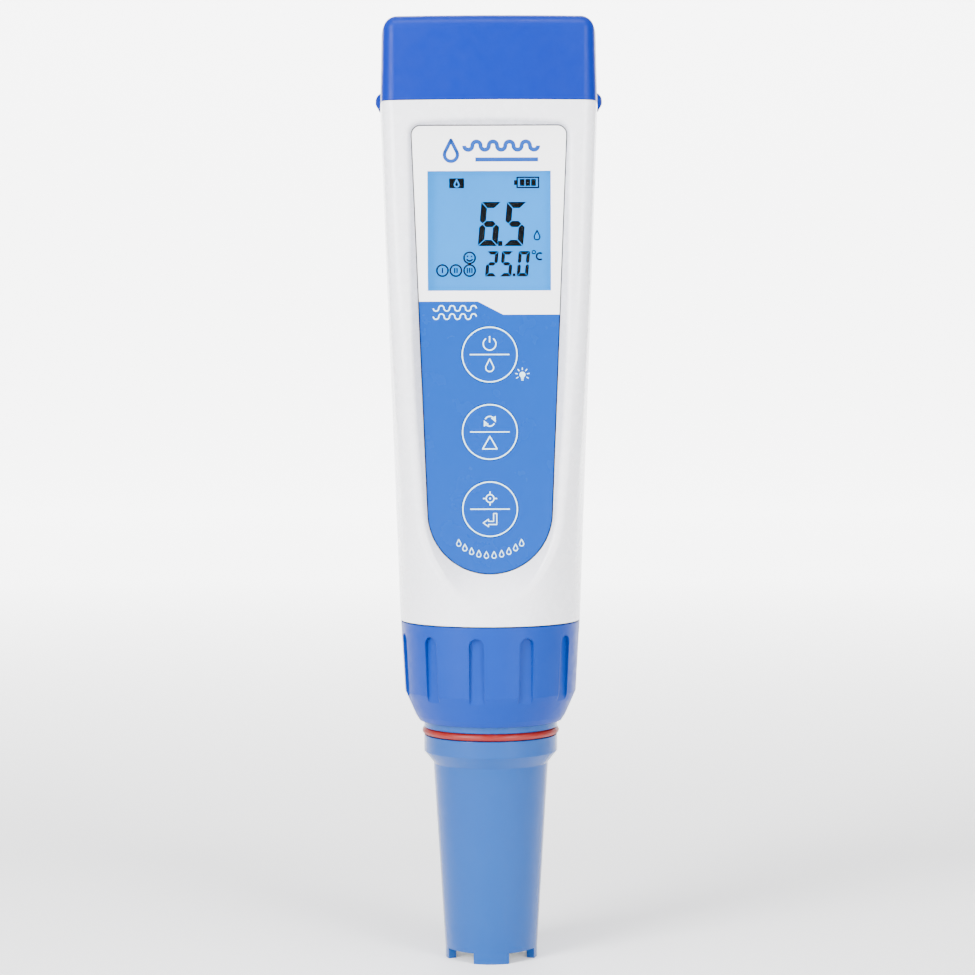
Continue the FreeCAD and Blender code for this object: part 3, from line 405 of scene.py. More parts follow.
@dataclass(frozen=True)
class Ink:
    """Printed ink, slightly uneven, that may glow with the display behind it."""

    name: str
    colour: Colour
    roughness: float = 0.4
    glow: float = 0.0
    sheen: float = 0.3

    def material(self) -> bpy.types.Material:
        """Builds the finish.

        Returns:
            The material.
        """
        sheet = ShaderSheet(self.name)
        weave = sheet.noise(0.08 * MM, 2.0)
        darker = tuple(channel * 0.86 for channel in self.colour)
        share = sheet.spread(weave, 0.0, 1.0, 0.4, 0.65)
        low, high = self.roughness * 0.85, self.roughness * 1.2
        sheet.set(Base_Color=sheet.blend(share, self.colour, darker))
        sheet.set(Roughness=sheet.spread(weave, low, high, *NOISE_SPAN))
        sheet.set(Normal=sheet.relief(weave, 0.001 * MM), Specular_IOR_Level=self.sheen)
        if self.glow:
            sheet.set(Emission_Color=self.colour, Emission_Strength=self.glow)
        return sheet.material


@dataclass(frozen=True)
class LitDisplay:
    """Lit liquid-crystal cell: an even blue that drifts faintly to a second blue, with a faint fine grain.
    """

    name: str
    colour: Colour
    edge: Colour
    glow: float

    def material(self) -> bpy.types.Material:
        """Builds the finish.

        Returns:
            The material.
        """
        sheet = ShaderSheet(self.name)
        cloud = sheet.noise(8 * MM, 1.0)
        lit = sheet.blend(sheet.spread(cloud, 0.0, 1.0, 0.3, 0.75), self.colour, self.edge)
        sheet.set(Base_Color=lit, Emission_Color=lit, Emission_Strength=self.glow)
        sheet.set(Roughness=sheet.spread(sheet.noise(0.3 * MM), 0.16, 0.26, *NOISE_SPAN))
        sheet.set(Specular_IOR_Level=0.05)
        sheet.set(Normal=sheet.relief(sheet.noise(0.12 * MM, 1.0), 0.0006 * MM))
        return sheet.material


@dataclass(frozen=True)
class ClearSheet:
    """Clear window or glass that lets light through without tinting it."""

    name: str
    colour: Colour
    cover: float
    roughness: float = 0.06

    def material(self) -> bpy.types.Material:
        """Builds the finish.

        Returns:
            The material.
        """
        sheet = ShaderSheet(self.name)
        smear = sheet.noise(4 * MM, 4.0)
        faint = tuple(channel * 0.93 for channel in self.colour)
        share = sheet.spread(smear, 0.0, 1.0, 0.4, 0.6)
        sheet.set(Base_Color=sheet.blend(share, self.colour, faint))
        high = self.roughness * 2.5
        sheet.set(Roughness=sheet.spread(smear, self.roughness, high, 0.35, 0.7))
        sheet.set(Alpha=self.cover, IOR=1.49, Coat_Weight=1.0, Coat_Roughness=0.03)
        sheet.set(Normal=sheet.relief(sheet.noise(1.5 * MM), 0.0015 * MM))
        return sheet.material


@dataclass(frozen=True)
class Rubber:
    """Moulded rubber with a dull bloom and fine texture."""

    name: str
    colour: Colour
    bloom: Colour
    roughness: float = 0.5

    def material(self) -> bpy.types.Material:
        """Builds the finish.

        Returns:
            The material.
        """
        sheet = ShaderSheet(self.name)
        dust = sheet.noise(1.2 * MM, 4.0)
        share = sheet.spread(dust, 0.0, 1.0, 0.45, 0.75)
        sheet.set(Base_Color=sheet.blend(share, self.colour, self.bloom))
        fine = sheet.noise(0.08 * MM, 3.0)
        sheet.set(Normal=sheet.relief(fine, 0.004 * MM))
        low, high = self.roughness * 0.8, self.roughness * 1.25
        sheet.set(Roughness=sheet.spread(dust, low, high, *NOISE_SPAN))
        sheet.set(Specular_IOR_Level=0.4)
        return sheet.material


@dataclass(frozen=True)
class Metal:
    """Drawn, plated or stamped metal with fine lines and stains."""

    name: str
    colour: Colour
    stain: Colour
    roughness: float
    line: Vector = field(default_factory=lambda: Vector((1, 1, 0.08)))

    def material(self) -> bpy.types.Material:
        """Builds the finish.

        Returns:
            The material.
        """
        sheet = ShaderSheet(self.name)
        lines = sheet.noise(0.12 * MM, 4.0, sheet.stretched(self.line))
        age = sheet.noise(2.5 * MM, 4.0)
        share = sheet.spread(age, 0.0, 0.7, 0.45, 0.8)
        sheet.set(Base_Color=sheet.blend(share, self.colour, self.stain))
        sheet.set(Metallic=1.0, Normal=sheet.relief(lines, 0.003 * MM))
        low, high = self.roughness * 0.75, self.roughness * 1.3
        sheet.set(Roughness=sheet.spread(age, low, high, *NOISE_SPAN))
        return sheet.material


@dataclass(frozen=True)
class Porous:
    """Porous ceramic or sintered polymer with open grains."""

    name: str
    colour: Colour
    pore: Colour

    def material(self) -> bpy.types.Material:
        """Builds the finish.

        Returns:
            The material.
        """
        sheet = ShaderSheet(self.name)
        grains = sheet.pits(0.22 * MM)
        share = sheet.spread(grains, 0.0, 0.6, 0.4, 0.8)
        sheet.set(Base_Color=sheet.blend(share, self.colour, self.pore))
        sheet.set(Normal=sheet.relief(grains, 0.02 * MM))
        sheet.set(Roughness=sheet.spread(grains, 0.6, 0.85))
        return sheet.material


@dataclass(frozen=True)
class CircuitBoard:
    """Solder mask over copper tracks on glass-filled board."""

    name: str
    mask: Colour
    copper: Colour
    track_length: float = 7 * MM
    track_pitch: float = 1.9 * MM
    track_width: float = 0.16 * MM

    def material(self) -> bpy.types.Material:
        """Builds the finish.

        Returns:
            The material.
        """
        sheet = ShaderSheet(self.name)
        tracks = sheet.add("ShaderNodeTexBrick")
        tracks.inputs["Scale"].default_value = 1.0
        tracks.inputs["Brick Width"].default_value = self.track_length
        tracks.inputs["Row Height"].default_value = self.track_pitch
        tracks.inputs["Mortar Size"].default_value = self.track_width
        tracks.inputs["Color1"].default_value = (0.0, 0.0, 0.0, 1.0)
        tracks.inputs["Color2"].default_value = (0.0, 0.0, 0.0, 1.0)
        tracks.inputs["Mortar"].default_value = (1.0, 1.0, 1.0, 1.0)
        swap = sheet.add("ShaderNodeCombineXYZ")
        sheet.link(sheet.axis("X"), swap.inputs["X"])
        sheet.link(sheet.axis("Z"), swap.inputs["Y"])
        sheet.link(swap.outputs[0], tracks.inputs["Vector"])
        sheet.set(Base_Color=sheet.blend(tracks.outputs["Color"], self.mask, self.copper))
        sheet.set(Normal=sheet.relief(tracks.outputs["Color"], 0.03 * MM))
        sheet.set(Roughness=sheet.spread(sheet.noise(0.6 * MM, 3.0), 0.3, 0.5))
        return sheet.material


@dataclass(frozen=True)
class CellSleeve:
    """Battery sleeve with a bright band near its upper end and light scuffs."""

    name: str
    sleeve: Colour
    band: Colour
    band_low: float
    band_high: float
    blur: float = 0.05 * MM

    def material(self) -> bpy.types.Material:
        """Builds the finish.

        Returns:
            The material.
        """
        sheet = ShaderSheet(self.name)
        up = sheet.axis("Z")
        over = sheet.spread(up, 0.0, 1.0, self.band_low, self.band_low + self.blur)
        under = sheet.spread(up, 1.0, 0.0, self.band_high, self.band_high + self.blur)
        banded = sheet.math("MULTIPLY", over, under)
        scuffs = sheet.noise(1.5 * MM, 5.0, sheet.stretched(Vector((1, 1, 0.2))))
        base = sheet.blend(banded, self.sleeve, self.band)
        worn = tuple(min(1.0, channel + 0.15) for channel in self.sleeve)
        share = sheet.spread(scuffs, 0.0, 0.5, 0.62, 0.8)
        sheet.set(Base_Color=sheet.blend(share, base, worn))
        sheet.set(Metallic=0.5, Roughness=sheet.spread(scuffs, 0.25, 0.42, *NOISE_SPAN))
        sheet.set(Normal=sheet.relief(scuffs, 0.004 * MM))
        return sheet.material


@dataclass(frozen=True)
class Backdrop:
    """Pale studio paper, lit from behind in the middle of the wall."""

    name: str
    colour: Colour
    glow: float = 5.0
    near: float = 0.1
    far: float = 0.9
    half_width: float = 0.85

    def material(self) -> bpy.types.Material:
        """Builds the finish.

        Returns:
            The material.
        """
        sheet = ShaderSheet(self.name)
        fibre = sheet.noise(3 * MM, 3.0)
        greyer = tuple(channel * 0.985 for channel in self.colour)
        sheet.set(Base_Color=sheet.blend(fibre, self.colour, greyer))
        sheet.set(Roughness=0.9, Specular_IOR_Level=0.1)
        depth = sheet.spread(sheet.axis("Y"), 0.03, 1.0, self.near, self.far)
        aside = sheet.math("ABSOLUTE", sheet.axis("X"))
        across = sheet.spread(aside, 1.0, 0.15, self.half_width * 0.7, self.half_width)
        light = sheet.math("MULTIPLY", sheet.math("MULTIPLY", depth, across), self.glow)
        sheet.set(Emission_Color=(1.0, 1.0, 1.0), Emission_Strength=light)
        return sheet.material


# ------------------------------------------------------------------ the leaning label


@dataclass
class LabelPlane:
    """The label's own plane: x across, y up from its foot, facing out of the pen."""

    thickness: float = 1.2 * MM
    key_joint: str = "press_mode"
    matrix: Matrix = field(init=False)

    def __post_init__(self) -> None:
        """Finds the plane's lean and place from the frame."""
        joint = next(item for item in frame["joints"] if item["name"] == self.key_joint)
        inward = Vector(joint["axis"])
        lean = math.atan2(inward.z, inward.y)
        low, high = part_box("front_panel")
        origin = Vector((0.0, high.y - self.thickness * math.cos(lean), low.z))
        upright = Matrix.Rotation(math.pi / 2, 4, "X")
        self.matrix = Matrix.Translation(origin) @ Matrix.Rotation(lean, 4, "X") @ upright

    def centre_of(self, node: str) -> Point:
        """Finds where a node's centre lies in the plane.

        Args:
            node: Name of the CAD node.

        Returns:
            Its place across and up.
        """
        low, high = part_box(node)
        flat = self.matrix.inverted() @ ((low + high) / 2)
        return flat.x, flat.y


class Print:
    """Flat marks drawn in the label's plane, then given a little thickness."""

    def __init__(self, name: str, plane: LabelPlane) -> None:
        """Starts an empty print.

        Args:
            name: Piece name.
            plane: The plane that it is drawn in.
        """
        self.name = name
        self.plane = plane
        self.mesh: bmesh.types.BMesh = bmesh.new()

    def bar(self, centre: Point, size: Point, turn: float = 0.0) -> None:
        """Adds a bar.

        Args:
            centre: Middle of the bar.
            size: Its width and height.
            turn: Its turn, anticlockwise, in radians.
        """
        place = Matrix.Translation((*centre, 0)) @ Matrix.Rotation(turn, 4, "Z")
        bmesh.ops.create_grid(self.mesh, x_segments=1, y_segments=1, size=0.5,
                              matrix=place @ Matrix.Diagonal((*size, 1, 1)))

    def disc(self, centre: Point, radius: float, segments: int = 32) -> None:
        """Adds a filled disc."""
        bmesh.ops.create_circle(self.mesh, cap_ends=True, segments=segments, radius=radius,
                                matrix=Matrix.Translation((*centre, 0)))

    def arc(self, centre: Point, radius: float, width: float, start: float = 0.0,
            sweep: float = math.tau) -> None:
        """Adds an arc, or a whole ring.

        Args:
            centre: Centre of the arc.
            radius: Radius of its middle line.
            width: Width of the line.
            start: Angle where it starts, in radians.
            sweep: Angle that it covers.
        """
        middle = Vector((*centre, 0))
        ray = Vector((math.cos(start), math.sin(start), 0))
        inner = self.mesh.verts.new(middle + ray * (radius - width / 2))
        outer = self.mesh.verts.new(middle + ray * (radius + width / 2))
        edge = self.mesh.edges.new((inner, outer))
        whole = abs(sweep - math.tau) < 1e-6
        steps = max(6, int(96 * sweep / math.tau))
        bmesh.ops.spin(self.mesh, geom=[inner, outer, edge], cent=middle, axis=(0, 0, 1),
                       angle=sweep, steps=steps, use_merge=whole)

    def shape(self, points: list[Point]) -> None:
        """Adds a filled outline."""
        self.mesh.faces.new([self.mesh.verts.new((*point, 0)) for point in points])

    def line(self, points: list[Point], width: float, closed: bool = False) -> None:
        """Adds a line of even width with round joints.

        Args:
            points: Its corners.
            width: Width of the line.
            closed: Whether it returns to its first corner.
        """
        stops = points + points[:1] if closed else points
        for first, second in zip(stops, stops[1:]):
            start, end = Vector(first), Vector(second)
            run = end - start
            self.bar(tuple((start + end) / 2), (run.length, width), math.atan2(run.y, run.x))
        for point in points:
            self.disc(point, width / 2, 16)

    def piece(self, lift: float, thickness: float, finish: bpy.types.Material, body: str,
              slot: str) -> bpy.types.Object:
        """Closes the marks into thin solids and places them on the pen.

        Args:
            lift: Height of the marks' back over the label's face; less than 0 is behind it.
            thickness: Thickness of the ink.
            finish: Material.
            body: Body that carries the print.
            slot: Material slot in the record; not used.

        Returns:
            The finished piece.
        """
        for face in self.mesh.faces:
            face.normal_update()
            if face.normal.z < 0:
                face.normal_flip()
        region = bmesh.ops.extrude_face_region(self.mesh, geom=list(self.mesh.faces),
                                               use_keep_orig=True)
        raised = [item for item in region["geom"] if isinstance(item, bmesh.types.BMVert)]
        bmesh.ops.translate(self.mesh, verts=raised, vec=(0, 0, thickness))
        bmesh.ops.recalc_face_normals(self.mesh, faces=list(self.mesh.faces))
        bmesh.ops.translate(self.mesh, verts=list(self.mesh.verts), vec=(0, 0, lift))
        bmesh.ops.transform(self.mesh, matrix=self.plane.matrix, verts=list(self.mesh.verts))
        return finished(self.name, self.mesh, finish, body)


def finished(name: str, mesh: bmesh.types.BMesh, finish: bpy.types.Material, body: str) -> bpy.types.Object:
    """Turns a bmesh into a piece that rides on a body.

    Args:
        name: Piece name.
        mesh: Its mesh, which is freed.
        finish: Material.
        body: Body that carries it.

    Returns:
        The piece.
    """
    data = bpy.data.meshes.new(name)
    mesh.to_mesh(data)
    mesh.free()
    data.materials.append(finish)
    piece = bpy.data.objects.new(name, data)
    bpy.context.scene.collection.objects.link(piece)
    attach(piece, body)
    log.info("piece %s on %s: %d faces", name, body, len(data.polygons))
    return piece


def dress(finish: bpy.types.Material, *nodes: str) -> None:
    """Gives CAD nodes a finish.

    Args:
        finish: Material.
        nodes: Names of the nodes.
    """
    for name in nodes:
        data = frame["nodes"][name].data
        data.materials.clear()
        data.materials.append(finish)
        log.info("dressed %s with %s", name, finish.name)


# ------------------------------------------------------------------ sub-assemblies


@dataclass
class Housing:
    """White housing with its blue cap and the seal between them."""

    # The white moulding gets painted shade in its recesses, reaching 14 mm.
    white: Moulding = Moulding("housing_white", (0.9, 0.9, 0.94), (0.88, 0.88, 0.93), 0.26,
                               Grain.POLISHED, 0.6 * MM, 0.002 * MM, 0.2 * MM, coat=0.15,
                               glow=0.03, painted_shade_reach=14 * MM)
    cap: Moulding = Moulding("cap_blue", (0.0, 0.016, 0.235), (0.0, 0.0148, 0.228), 0.36,
                             Grain.SPARKED, 0.22 * MM, 0.006 * MM, 0.25 * MM, sheen=0.12)
    seal: Rubber = Rubber("seal_black_and_gap_shade", tone(28, 28, 30), tone(60, 60, 62))

    def dress(self) -> None:
        """Gives the outer mouldings their finishes."""
        dress(self.white.material(), "housing_shell")
        dress(self.cap.material(), "battery_cap")
        # Black rubber for the seals; on the panel seal the black also stands in for the shadow in the gap
        # round the label: painted shade.
        dress(self.seal.material(), "cap_seal", "panel_seal", "plug_o_ring")


@dataclass
class Collar:
    """Fluted locking collar and the washer under it."""

    blue: Moulding = Moulding("collar_blue", (0.0, 0.034, 0.27), (0.0, 0.031, 0.258), 0.34,
                              Grain.SPARKED, 0.2 * MM, 0.006 * MM, 0.3 * MM, sheen=0.14)
    washer: Moulding = Moulding("washer_white", tone(232, 232, 228), tone(222, 222, 216), 0.4,
                                Grain.POLISHED)

    def dress(self) -> None:
        """Gives the collar and its washer their finishes."""
        dress(self.blue.material(), "collar")
        dress(self.washer.material(), "slip_washer")


@dataclass
class Probe:
    """Replaceable probe with its ring, plug and sensing tip."""

    blue: Moulding = Moulding("probe_blue", (0.0, 0.058, 0.26), (0.0, 0.055, 0.253), 0.15,
                              Grain.DRAWN, 1.2 * MM, 0.0007 * MM, 0.2 * MM, sheen=0.3)
    ring: Rubber = Rubber("ring_red", (0.2, 0.003, 0.001), (0.22, 0.012, 0.008), 0.42)
    glass: ClearSheet = ClearSheet("membrane_glass", tone(214, 232, 228), 0.45)
    porous: Porous = Porous("junction_white", tone(238, 238, 232), tone(196, 196, 188))
    steel: Metal = Metal("sensor_steel", tone(205, 205, 205), tone(165, 160, 155), 0.25)
    gold: Metal = Metal("contact_gold", tone(232, 196, 120), tone(200, 160, 90), 0.25)
    silver: Metal = Metal("electrode_silver", tone(225, 225, 222), tone(120, 116, 112), 0.3)
    epoxy: Moulding = Moulding("potting_black", tone(26, 26, 30), tone(34, 34, 40), 0.2,
                               Grain.POLISHED, 0.8 * MM, 0.01 * MM)

    def dress(self) -> None:
        """Gives the probe's pieces their finishes."""
        dress(self.blue.material(), "probe_barrel", "plug_body")
        dress(self.ring.material(), "probe_o_ring")
        dress(self.glass.material(), "glass_membrane")
        dress(self.porous.material(), "reference_junction")
        dress(self.steel.material(), "temperature_sensor")
        dress(self.gold.material(), "plug_pins", "socket_contacts")
        dress(self.silver.material(), "silver_wire")
        dress(self.epoxy.material(), "potting_plug")


@dataclass
class Inside:
    """Everything that the housing hides: board, carrier, cells, door and display stack."""

    carrier: Moulding = Moulding("carrier_black", tone(38, 38, 41), tone(46, 46, 50), 0.45,
                                 Grain.SPARKED)
    board: CircuitBoard = CircuitBoard("board_green", tone(14, 84, 48), tone(60, 128, 70))
    chip: Moulding = Moulding("chip_black", tone(30, 30, 32), tone(42, 42, 44), 0.5, Grain.SPARKED,
                              0.1 * MM)
    steel: Metal = Metal("plated_steel", tone(200, 200, 198), tone(150, 148, 142), 0.28,
                         Vector((1, 0.1, 1)))
    stripe: Rubber = Rubber("contact_stripe", tone(206, 170, 140), tone(90, 80, 74))
    guide: LitDisplay = LitDisplay("light_guide_blue", tone(140, 210, 255), tone(110, 190, 250),
                                   0.6)
    band_foot: float = 13 * MM
    band_head: float = 2.2 * MM

    def dress(self) -> None:
        """Gives the inner pieces their finishes."""
        dress(self.carrier.material(), "battery_holder", "battery_door", "lcd_frame",
              "probe_socket")
        dress(self.board.material(), "main_board", "probe_board")
        dress(self.chip.material(), "board_chips", "tact_switches")
        dress(self.steel.material(), "board_screws", "battery_springs", "hinge_pin",
              "door_contacts")
        dress(self.stripe.material(), "zebra_strips")
        dress(self.guide.material(), "lcd_backlight")
        _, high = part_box("battery_1")
        sleeve = CellSleeve("cell_sleeve", tone(34, 36, 40), tone(196, 138, 58),
                            high.z - self.band_foot, high.z - self.band_head)
        dress(sleeve.material(), "battery_1", "battery_2", "battery_3", "battery_4")


class Mark(Enum):
    """Signs printed on the keys and shown on the display."""

    POWER = "power"
    DROP = "drop"
    CYCLE = "cycle"
    UP = "up"
    TARGET = "target"
    ENTER = "enter"
    LAMP = "lamp"


@dataclass
class Signs:
    """Draws small signs, each centred on a point of a print."""

    stroke: float = 0.21 * MM

    def draw(self, page: Print, mark: Mark, centre: Point, size: float) -> None:
        """Draws one sign.

        Args:
            page: Print that it goes on.
            mark: Which sign.
            centre: Its middle.
            size: Half its height.
        """
        painters = {
            Mark.POWER: self.power, Mark.DROP: self.drop, Mark.CYCLE: self.cycle,
            Mark.UP: self.up, Mark.TARGET: self.target, Mark.ENTER: self.enter,
            Mark.LAMP: self.lamp,
        }
        painters[mark](page, Vector(centre), size)

    def power(self, page: Print, at: Vector, size: float) -> None:
        """Open ring with a bar in its gap.

        Args:
            page: Print that it goes on.
            at: Its middle.
            size: Half its height.
        """
        page.arc(tuple(at), size, self.stroke, math.radians(125), math.radians(290))
        page.bar((at.x, at.y + size * 0.72), (self.stroke, size * 1.0))

    def drop(self, page: Print, at: Vector, size: float) -> None:
        """Outline of a water drop.

        Args:
            page: Print that it goes on.
            at: Its middle.
            size: Half its height.
        """
        radius = size * 0.62
        middle = at - Vector((0, size * 0.38))
        rise = math.radians(28)
        page.arc(tuple(middle), radius, self.stroke, math.radians(152), math.radians(236))
        for side in (-1, 1):
            shoulder = middle + radius * Vector((side * math.cos(rise), math.sin(rise)))
            page.line([tuple(shoulder), (at.x, at.y + size)], self.stroke)

    def cycle(self, page: Print, at: Vector, size: float) -> None:
        """Two arrows that chase each other round.

        Args:
            page: Print that it goes on.
            at: Its middle.
            size: Half its height.
        """
        corners = (0.0, math.radians(130), math.radians(230))
        for turn in (0.0, math.pi):
            tip = turn + math.radians(25)
            page.arc(tuple(at), size * 0.78, self.stroke, tip, math.radians(130))
            spot = at + size * 0.78 * Vector((math.cos(tip), math.sin(tip)))
            heading = [tip - math.pi / 2 + corner for corner in corners]
            head = [spot + size * 0.55 * Vector((math.cos(turned), math.sin(turned)))
                    for turned in heading]
            page.shape([tuple(point) for point in head])

    def up(self, page: Print, at: Vector, size: float) -> None:
        """Outline of a triangle that points up.

        Args:
            page: Print that it goes on.
            at: Its middle.
            size: Half its height.
        """
        half = size * 1.15
        low, high = at.y - size, at.y + size
        corners = [(at.x - half, low), (at.x + half, low), (at.x, high)]
        page.line(corners, self.stroke, closed=True)

    def target(self, page: Print, at: Vector, size: float) -> None:
        """Ring with a centre dot and four ticks.

        Args:
            page: Print that it goes on.
            at: Its middle.
            size: Half its height.
        """
        page.arc(tuple(at), size * 0.62, self.stroke)
        page.disc(tuple(at), self.stroke * 0.8)
        for quarter in range(4):
            angle = quarter * math.pi / 2
            tick = at + size * 0.9 * Vector((math.cos(angle), math.sin(angle)))
            page.bar(tuple(tick), (size * 0.4, self.stroke), angle)

    def enter(self, page: Print, at: Vector, size: float) -> None:
        """Outline of an arrow that comes down and turns left.

        Args:
            page: Print that it goes on.
            at: Its middle.
            size: Half its height.
        """
        def spot(across: float, up: float) -> Point:
            """Places a corner given in shares of the size."""
            return at.x + across * size, at.y + up * size

        page.line([spot(0.55, 1.0), spot(1.05, 1.0), spot(1.05, -0.75), spot(-0.25, -0.75),
                   spot(-0.25, -1.1), spot(-1.1, -0.5), spot(-0.25, 0.1), spot(-0.25, -0.25),
                   spot(0.55, -0.25)], self.stroke * 0.85, closed=True)

    def lamp(self, page: Print, at: Vector, size: float) -> None:
        """Filled bulb with a base and rays round it.

        Args:
            page: Print that it goes on.
            at: Its middle.
            size: Half its height.
        """
        page.disc((at.x, at.y + size * 0.05), size * 0.4)
        page.bar((at.x, at.y - size * 0.38), (size * 0.36, size * 0.3))
        page.bar((at.x, at.y - size * 0.66), (size * 0.3, size * 0.12))
        middle = at + Vector((0, size * 0.05))
        for step in range(7):
            angle = math.radians(-30 + step * 40)
            ray = middle + size * 0.8 * Vector((math.cos(angle), math.sin(angle)))
            page.bar(tuple(ray), (size * 0.34, self.stroke * 0.7), angle)


@dataclass
class Legends:
    """Label with its printed fields and marks, and the three keys with their signs."""

    plane: LabelPlane
    signs: Signs = field(default_factory=Signs)
    blue: Colour = (0.0, 0.05, 0.29)
    ink_lift: float = 0.004 * MM
    ink_thickness: float = 0.018 * MM
    ring_radius: float = 4.98 * MM
    ring_width: float = 0.22 * MM
    divider: float = 7.2 * MM
    divider_width: float = 0.2 * MM
    sign_offset: float = 1.95 * MM
    sign_size: float = 1.15 * MM
    step_foot: float = 47.3 * MM
    step_head: float = 49.7 * MM
    step_left: float = -2.1 * MM
    step_right: float = 2.5 * MM
    lamp_offset: Point = (5.95 * MM, -3.75 * MM)
    lamp_size: float = 1.35 * MM
    wave_length: float = 7.8 * MM
    wave_width: float = 0.22 * MM
    drops: int = 10
    drops_radius: float = 8.4 * MM
    drops_sweep: float = 86.0
    drop_size: float = 0.62 * MM
    emblem_width: float = 0.75 * MM
    keys: tuple[tuple[str, Mark, Mark], ...] = (
        ("key_measure", Mark.POWER, Mark.DROP), ("key_mode", Mark.CYCLE, Mark.UP),
        ("key_calibrate", Mark.TARGET, Mark.ENTER),
    )

    def height(self, up: float) -> float:
        """World height of a point of the label's middle line."""
        return (self.plane.matrix @ Vector((0, up, 0))).z

    def dress(self) -> None:
        """Gives the label and keys their printed film, then adds every mark."""
        film = LabelFilm("label_film", (0.97, 0.965, 0.975), self.blue,
                         self.height(self.step_foot), self.height(self.step_head),
                         self.step_left, self.step_right)
        dress(film.material(), "front_panel", *[key for key, _, _ in self.keys])
        pale = Ink("legend_ink", tone(205, 244, 255)).material()
        for key, upper, lower in self.keys:
            self.key_print(key, upper, lower, pale)
        self.panel_print(pale)
        self.emblem()

    def key_print(self, key: str, upper: Mark, lower: Mark, ink: bpy.types.Material) -> None:
        """Prints a key's ring, divider and two signs.

        Args:
            key: Node and body name of the key.
            upper: Sign above the divider.
            lower: Sign below it.
            ink: Material.
        """
        across, up = self.plane.centre_of(key)
        page = Print(key + "_legend", self.plane)
        page.arc((across, up), self.ring_radius, self.ring_width)
        page.bar((across, up), (self.divider, self.divider_width))
        self.signs.draw(page, upper, (across, up + self.sign_offset), self.sign_size)
        self.signs.draw(page, lower, (across, up - self.sign_offset), self.sign_size)
        page.piece(self.ink_lift, self.ink_thickness, ink, key, "key_cap")

    def panel_print(self, ink: bpy.types.Material) -> None:
        """Prints the lamp sign, the wave mark and the arc of drops on the blue field.

        Args:
            ink: Material.
        """
        page = Print("panel_marks", self.plane)
        across, up = self.plane.centre_of("key_measure")
        lamp = (across + self.lamp_offset[0], up + self.lamp_offset[1])
        self.signs.draw(page, Mark.LAMP, lamp, self.lamp_size)
        for row in (46.95 * MM, 48.45 * MM):
            self.wave(page, (-6.3 * MM, row), self.wave_length, 8, self.wave_width)
        centre = Vector(self.plane.centre_of("key_calibrate"))
        small = Signs(0.17 * MM)
        for step in range(self.drops):
            share = step / (self.drops - 1) - 0.5
            angle = math.radians(-90 + self.drops_sweep * share)
            spot = centre + self.drops_radius * Vector((math.cos(angle), math.sin(angle)))
            small.draw(page, Mark.DROP, tuple(spot), self.drop_size)
        page.piece(self.ink_lift, self.ink_thickness, ink, "housing", "label")

    def wave(self, page: Print, centre: Point, length: float, count: int, width: float) -> None:
        """Draws a row of water waves.

        Args:
            page: Print that it goes on.
            centre: Its middle.
            length: Its length.
            count: How many crests and troughs it has.
            width: Width of its line.
        """
        radius = length / count / 2
        for step in range(count):
            spot = (centre[0] + (step - (count - 1) / 2) * radius * 2, centre[1])
            page.arc(spot, radius, width, 0.0 if step % 2 else math.pi, math.pi)

    def emblem(self) -> None:
        """Prints a plain emblem of a drop, a wave and a bar above the display."""
        page = Print("panel_emblem", self.plane)
        Signs(0.65 * MM).draw(page, Mark.DROP, (-6.9 * MM, 77.0 * MM), 1.9 * MM)
        self.wave(page, (2.2 * MM, 77.9 * MM), 13.4 * MM, 9, self.emblem_width)
        page.bar((3.2 * MM, 75.4 * MM), (11.4 * MM, self.emblem_width))
        ink = Ink("emblem_ink", self.blue).material()
        page.piece(self.ink_lift, self.ink_thickness, ink, "housing", "label")


# Segments lit for each numeral, a to g in the usual order.
NUMERALS: dict[str, str] = {"0": "abcdef", "2": "abdeg", "5": "acdfg", "6": "acdefg"}


